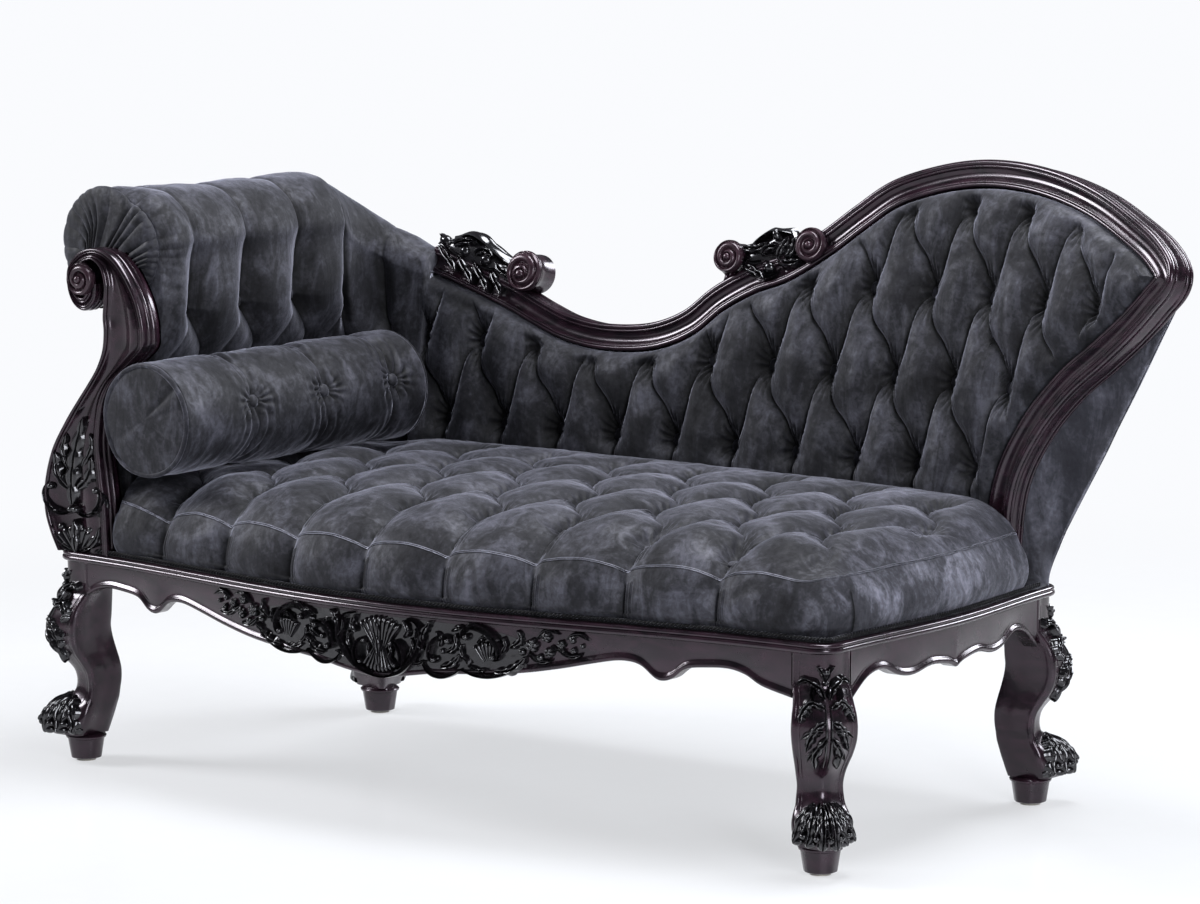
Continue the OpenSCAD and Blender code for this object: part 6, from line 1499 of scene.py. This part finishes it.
def bolster():
    """The loose bolster: gathered body, puckered ends and piped edges."""
    n = 288
    half = BOLSTER_LEN / 2
    s = np.linspace(-0.965, 0.965, 190) * half
    a = np.arange(n) * 360.0 / n
    A, S = np.meshgrid(a, s)
    slack = 1 - ease((np.abs(S) - half * 0.86) / (half * 0.12)) * 0.5
    r = BOLSTER_R - bolster_depth(A, S) * ease((half * 0.99 - np.abs(S)) / 30.0)
    base = bolster_pt(A, S, r)
    r = r + (1.0 * waves(base, 60, 41) + 0.5 * waves(base, 20, 42)) * slack - 1.0
    # It lies on the seat and flattens a little there
    under = np.cos(np.radians(A + 90)) ** 8 * (np.sin(np.radians(A)) < 0)
    r = r - 1.5 * under
    body = bolster_pt(A, S, r)

    def cap(side):
        rings = []
        for t in np.linspace(1, 0.03, 30):
            puckers = 1.1 * t * np.sin(np.radians(a * 5) + 2.0 * np.sin(np.radians(a * 2) + side))
            puckers = puckers + 0.5 * t ** 3 * np.sin(np.radians(a * 31))
            crease = 0.0
            for at, deep in ((318, 4.5), (30, 3.2), (342, 2.6), (150, 2.0)):
                off = (a - at * side + 180) % 360 - 180
                crease = crease - deep * hill(off, 3.0 + 3.0 / (t + 0.2)) * ease(t / 0.7) * 1.2
            crown = 7.5 * math.sqrt(max(0, 1 - t ** 2.6))
            ss = side * (half * 0.972 + crown + (puckers + crease) * (0.4 + 0.6 * (1 - t)))
            rr = BOLSTER_R * (0.955 * t) - 0.6
            rings.append(bolster_pt(a, ss, np.full(n, rr)))
        return rings
    shape = Shape()
    shape.tube(np.array(cap(-1)[::-1] + list(body) + cap(1)), flip=True)
    ob = build("bolster_upholstery", shape, VELVET, body="bolster", nodes=["bolster_pad"])
    shape = Shape()
    for side in (-1, 1):
        rings = []
        for t in a[::2]:
            c = np.array([BOLSTER_R * 0.945 + 0.5 * math.sin(math.radians(t * 5)), side * (half * 0.975)])
            b = np.radians(np.arange(12) * 30)
            rings.append([bolster_pt(t, c[1] + PIPING_R * math.sin(q), c[0] + PIPING_R * math.cos(q))
                          for q in b])
        shape.tube(np.array(rings), loop=True, flip=side > 0)
    build("bolster_piped_edges", shape, PIPING, body="bolster", nodes=["bolster_piping"])


def axes_for(d):
    """Two directions square to each direction."""
    d = unit(d)
    ref = np.where(np.abs(d[..., 2:3]) < 0.9, UP, np.array([1.0, 0, 0]))
    u = unit(np.cross(ref, d))
    return u, np.cross(d, u)


def buttons(name, node_name, places, body="couch"):
    """Covered buttons: a low dome with the cloth drawn in under its edge."""
    prof = spline([[0.0, 7.2], [4.5, 6.9], [8.2, 5.5], [10.4, 3.4], [10.9, 1.6], [10.2, 0.2], [8.6, -0.6],
                   [6, -0.8]], 3)
    a = around(36)
    shape = Shape()
    for k, (p, d) in enumerate(places):
        u, v = axes_for(np.array(d))
        rings = []
        for r, h in prof[1:]:
            rr = r * (1 + 0.025 * np.sin(a * 7 + k) * (r > 6))
            rings.append(p + rr[:, None] * (np.cos(a)[:, None] * u + np.sin(a)[:, None] * v) + h * unit(d))
        shape.tube(np.array(rings), flip=True)
    build(name, shape, VELVET, body=body, nodes=[node_name])


def all_buttons():
    """Buttons in the tufts of seat, back, arm and bolster."""
    seat_at = []
    for j in range(4):
        for k in range(-3, 9):
            x, y = SEAT_FIRST[0] + (k - (j % 2) / 2) * SEAT_PITCH, SEAT_FIRST[1] + j * SEAT_ROW
            inside = SEAT_X0 + SEAT_PITCH * 0.7 < x < seat_side(y) - SEAT_PITCH * 0.7
            if inside and y < SEAT_REAR - SEAT_ROW * 0.4 and bolster_d(x, y) > BOLSTER_R * 0.75:
                seat_at.append((np.array([x, y, float(seat_top(np.array(x), np.array(y)))]), (0, 0, 1.0)))
    buttons("seat_covered_buttons", "seat_buttons", seat_at)
    back_at = []
    for j in range(3):
        for k in range(-8, 9):
            x, z = BACK_FIRST[0] + (k - (j % 2) / 2) * BACK_PITCH, BACK_FIRST[1] + j * BACK_ROW
            if x <= PAD_X0 + BACK_PITCH * 0.6 or x >= PAD_X1:
                continue
            i = float(pad_in(np.array([x]), np.array([z]))[0])
            if i > BACK_PITCH * 0.4 and pad_low(x) < z < pad_high(x):
                xx, zz = np.array([x]), np.array([z])
                back_at.append((pad_pt(xx, zz, pad_depth(xx, zz, np.array([i])))[0], pad_out(xx, zz)[0]))
    buttons("back_covered_buttons", "back_buttons", back_at)
    arm_at = []
    line = arm_section(0.0)
    t = unit(np.gradient(line, axis=0))
    i = int(round(10.6 / 19 * (len(line) - 1)))
    inward = np.array([-t[i, 1], t[i, 0]])
    spot = line[i] + inward * (ARM_TUFT * 1.42 - 2)
    for k in range(5):
        y = FIRST_ARM_TUFT + k * ARM_PITCH
        if y < TURN_Y + ARM_PITCH * 0.2:
            arm_at.append((np.array([-ROLL_X - spot[0], y, spot[1]]), (inward[0], 0, -inward[1])))
    buttons("arm_covered_buttons", "arm_buttons", arm_at)
    bolster_spots = []
    for k in (-1, 0, 1):
        for b in TUFT_ANGLES:
            w = TUFT_SHIFT + k * BOLSTER_PITCH
            p, q = bolster_pt(b, w, BOLSTER_R - BOLSTER_TUFT), bolster_pt(b, w, BOLSTER_R)
            bolster_spots.append((p, unit(q - p)))
    buttons("bolster_covered_buttons", "bolster_buttons", bolster_spots, body="bolster")


def braid():
    """Gimp along the seat's foot: two cords that cross each other."""
    inside = (PLAN[:, 0] > -HL + 40) & (PLAN[:, 1] < 290) & ~((PLAN[:, 0] < 600) & (PLAN[:, 1] > 0))
    start = int(np.argmin(np.where(inside & (PLAN[:, 0] < -HL + 60), PLAN[:, 0], 1e9)))
    idx = [i % len(PLAN) for i in range(start, start + len(PLAN)) if inside[i % len(PLAN)]]
    xy, out = PLAN[idx], PLAN_OUT[idx]
    s = np.concatenate([[0], np.cumsum(np.linalg.norm(np.diff(xy, axis=0), axis=1))])
    n = int(s[-1] / 2.1)
    t = np.linspace(0, s[-1], n)
    xy = np.stack([np.interp(t, s, xy[:, k]) for k in (0, 1)], 1)
    out = unit(np.stack([np.interp(t, s, out[:, k]) for k in (0, 1)], 1))
    b = np.radians(np.arange(8) * 45)
    shape = Shape()
    for ph in (0, math.pi):
        w = 2 * math.pi * t / 13.0 + ph
        off = -SEAT_IN * 0.30 + 1.5 * np.cos(w)
        z = CAP_Z + SOFT_GAP + 4.6 + 2.0 * np.sin(w)
        rings = []
        for i in range(n):
            c = np.array([xy[i, 0] + out[i, 0] * off[i], xy[i, 1] + out[i, 1] * off[i], z[i]])
            rings.append(c + 2.3 * (np.cos(b)[:, None] * np.append(out[i], 0) + np.sin(b)[:, None] * UP))
        shape.tube(np.array(rings))
    lip = [[-SEAT_IN * 0.66, 0.2], [-SEAT_IN * 0.2, 0.2], [-SEAT_IN * 0.2, 1.4], [-SEAT_IN * 0.66, 1.4]]
    rings = [[[xy[i, 0] + out[i, 0] * a, xy[i, 1] + out[i, 1] * a, CAP_Z + SOFT_GAP + h] for a, h in lip]
             for i in range(0, n, 3)]
    shape.tube(np.array(rings))
    build("seat_gimp_braid", shape, GIMP, nodes=["seat_gimp"])


# Plain finishes of the parts inside and below
def plain(name, base, rough, **extra):
    mat, nt, bsdf = finish(name, Roughness=rough, **extra)
    vec = place(nt)
    a = noise(nt, vec, 30.0, 5.0, 0.6)
    b = noise(nt, vec, 400.0, 3.0, 0.6)
    nt.links.new(ramp(nt, a, [(0.25, tuple(np.array(base) * 0.6)), (0.75, tuple(np.array(base) * 1.25))]),
                 bsdf.inputs["Base Color"])
    bump(nt, bsdf, [(a, 0.1, 0.002), (b, 0.2, 0.0004)])
    return mat


def woven(name, base, size, rough=0.85):
    mat, nt, bsdf = finish(name, Roughness=rough)
    vec = place(nt)
    threads = [node(nt, "TexWave", {"Vector": vec, "Scale": size, "Distortion": 0.6, "Detail": 1.0},
                    wave_type="BANDS", bands_direction=d).outputs["Fac"] for d in ("X", "Y")]
    both = maths(nt, "MAXIMUM", *threads)
    nt.links.new(ramp(nt, both, [(0.2, tuple(np.array(base) * 0.45)), (0.9, base)]),
                 bsdf.inputs["Base Color"])
    bump(nt, bsdf, [(both, 0.5, 0.0006)])
    return mat


def pale_wood():
    mat, nt, bsdf = finish("beech", Roughness=0.6)
    vec = node(nt, "Mapping", {"Vector": place(nt), "Scale": (4.0, 30.0, 30.0)}).outputs[0]
    g = noise(nt, vec, 5.0, 6.0, 0.6, 0.6)
    nt.links.new(ramp(nt, g, [(0.3, (0.36, 0.24, 0.13)), (0.7, (0.60, 0.43, 0.26))]),
                 bsdf.inputs["Base Color"])
    bump(nt, bsdf, [(g, 0.1, 0.001)])
    return mat


GIMP = velvet("gimp_braid", (0.006, 0.006, 0.008), (0.022, 0.022, 0.028), (0.5, 0.5, 0.6), 3.0)
PIPING = velvet("piping_velvet", (0.008, 0.008, 0.011), (0.040, 0.040, 0.052), (0.6, 0.6, 0.76), 2.0)
STEEL = plain("spring_steel", (0.32, 0.33, 0.35), 0.36, Metallic=1.0)
GLIDE = plain("glide_nylon", (0.55, 0.52, 0.46), 0.45)
WEBBING = woven("jute_webbing", (0.50, 0.36, 0.18), 180.0)
HESSIAN = woven("hessian", (0.46, 0.33, 0.17), 240.0)
DUST = woven("black_dust_cloth", (0.014, 0.014, 0.015), 300.0)
BEECH = pale_wood()


def inner_finishes():
    kinds = {"glides": GLIDE, "seat_springs": STEEL, "block_screws": STEEL, "seat_webbing": WEBBING,
             "spring_hessian": HESSIAN, "dust_cover": DUST}
    for n in ("arm_top_rail", "shoulder_rail", "seat_battens", "corner_blocks", "back_stiles",
              "arm_rear_post", "arm_lower_rail"):
        kinds[n] = BEECH
    for name, mat in kinds.items():
        paint(mat, name)


def studio():
    """Floor, soft lamps and the camera at the photograph's angle."""
    scene = bpy.context.scene
    scene.view_settings.view_transform = "Standard"
    world = bpy.data.worlds.new("studio")
    scene.world = world
    world.use_nodes = True
    nt = world.node_tree
    bg = nt.nodes["Background"]
    light = node(nt, "Background", {"Color": (0.84, 0.88, 0.96, 1), "Strength": 0.11})
    seen = node(nt, "Background", {"Color": (0.955, 0.965, 0.99, 1), "Strength": 1.0})
    path = node(nt, "LightPath")
    shown = node(nt, "MixShader", {0: path.outputs["Is Camera Ray"]})
    nt.links.new(light.outputs[0], shown.inputs[1])
    nt.links.new(seen.outputs[0], shown.inputs[2])
    nt.links.new(shown.outputs[0], nt.nodes["World Output"].inputs[0])
    nt.nodes.remove(bg)
    # Floor: pale and slightly glossy; what the camera sees of it lies between its lit shade and white
    mat, nt, bsdf = finish("studio_floor", Roughness=0.16, Specular_IOR_Level=0.5)
    vec = place(nt)
    f = noise(nt, vec, 1.1, 3.0, 0.5)
    nt.links.new(ramp(nt, f, [(0.3, (0.80, 0.81, 0.83)), (0.7, (0.86, 0.87, 0.89))]),
                 bsdf.inputs["Base Color"])
    fine = noise(nt, vec, 22.0, 3.0, 0.5)
    nt.links.new(spread(nt, fine, 0.0, 1.0, 0.10, 0.24), bsdf.inputs["Roughness"])
    path = node(nt, "LightPath")
    any_ray = maths(nt, "MAXIMUM", path.outputs["Is Camera Ray"], path.outputs["Is Glossy Ray"])
    any_ray = maths(nt, "MAXIMUM", any_ray, path.outputs["Is Transmission Ray"])
    # Far from the couch the floor turns into an even white backdrop
    spot = node(nt, "NewGeometry").outputs["Position"]
    away = node(nt, "VectorMath", {0: spot}, operation="LENGTH").outputs["Value"]
    far = spread(nt, away, 0.9, 3.2, 0.60, 1.0, interpolation_type="SMOOTHSTEP")
    fac = maths(nt, "MULTIPLY", any_ray, far)
    glow = node(nt, "Emission", {"Color": (0.955, 0.965, 0.99, 1), "Strength": 1.0})
    both = node(nt, "MixShader", {0: fac})
    nt.links.new(bsdf.outputs[0], both.inputs[1])
    nt.links.new(glow.outputs[0], both.inputs[2])
    nt.links.new(both.outputs[0], nt.nodes["Material Output"].inputs[0])
    mesh = bpy.data.meshes.new("studio_floor")
    e = 30.0
    mesh.from_pydata([(-e, -e, 0), (e, -e, 0), (e, e, 0), (-e, e, 0)], [], [(0, 1, 2, 3)])
    floor = bpy.data.objects.new("studio_floor", mesh)
    mesh.materials.append(mat)
    scene.collection.objects.link(floor)

    # Name, place, what it faces, width and height in metres, watts, colour
    for name, at, aim, size, power, colour in (
            ("left_softbox", (-3.6, -1.6, 2.9), (0, 0, 0.5), (1.3, 1.7), 190, (0.97, 0.98, 1.0)),
            ("top_softbox", (0.4, 0.5, 3.6), (0.1, 0, 0.5), (2.4, 1.2), 165, (0.95, 0.97, 1.0)),
            ("right_softbox", (3.7, -2.4, 1.9), (0.3, 0, 0.55), (1.2, 2.2), 118, (0.95, 0.97, 1.0)),
            ("rear_softbox", (1.5, 3.8, 2.4), (0, 0, 0.7), (2.6, 1.0), 150, (0.92, 0.95, 1.0))):
        data = bpy.data.lights.new(name, "AREA")
        data.shape = "RECTANGLE"
        data.size, data.size_y = size
        data.energy = power
        data.color = colour
        ob = bpy.data.objects.new(name, data)
        ob.location = at
        ob.rotation_euler = (Vector(aim) - Vector(at)).to_track_quat("-Z", "Y").to_euler()
        scene.collection.objects.link(ob)
    cam_data = bpy.data.cameras.new("camera")
    cam_data.lens = 150.0
    cam_data.sensor_width = 36.0
    cam_data.clip_end = 100.0
    cam = bpy.data.objects.new("camera", cam_data)
    shift = Vector(ORIGIN * MM)
    cam.location = Vector((4.67265, -6.38314, 1.67065)) + shift
    aim = Vector((0.10255, 0, 0.54431)) + shift
    cam.rotation_euler = (aim - cam.location).to_track_quat("-Z", "Y").to_euler()
    scene.collection.objects.link(cam)
    scene.camera = cam


rails()
legs()
band()
post()
scrolls()
seat()
back()
arm()
roll_front()
arm_cover()
back_cover()
bolster()
all_buttons()
braid()
inner_finishes()
apron_relief()
post_relief()
leg_reliefs()
crest_reliefs()
studio()
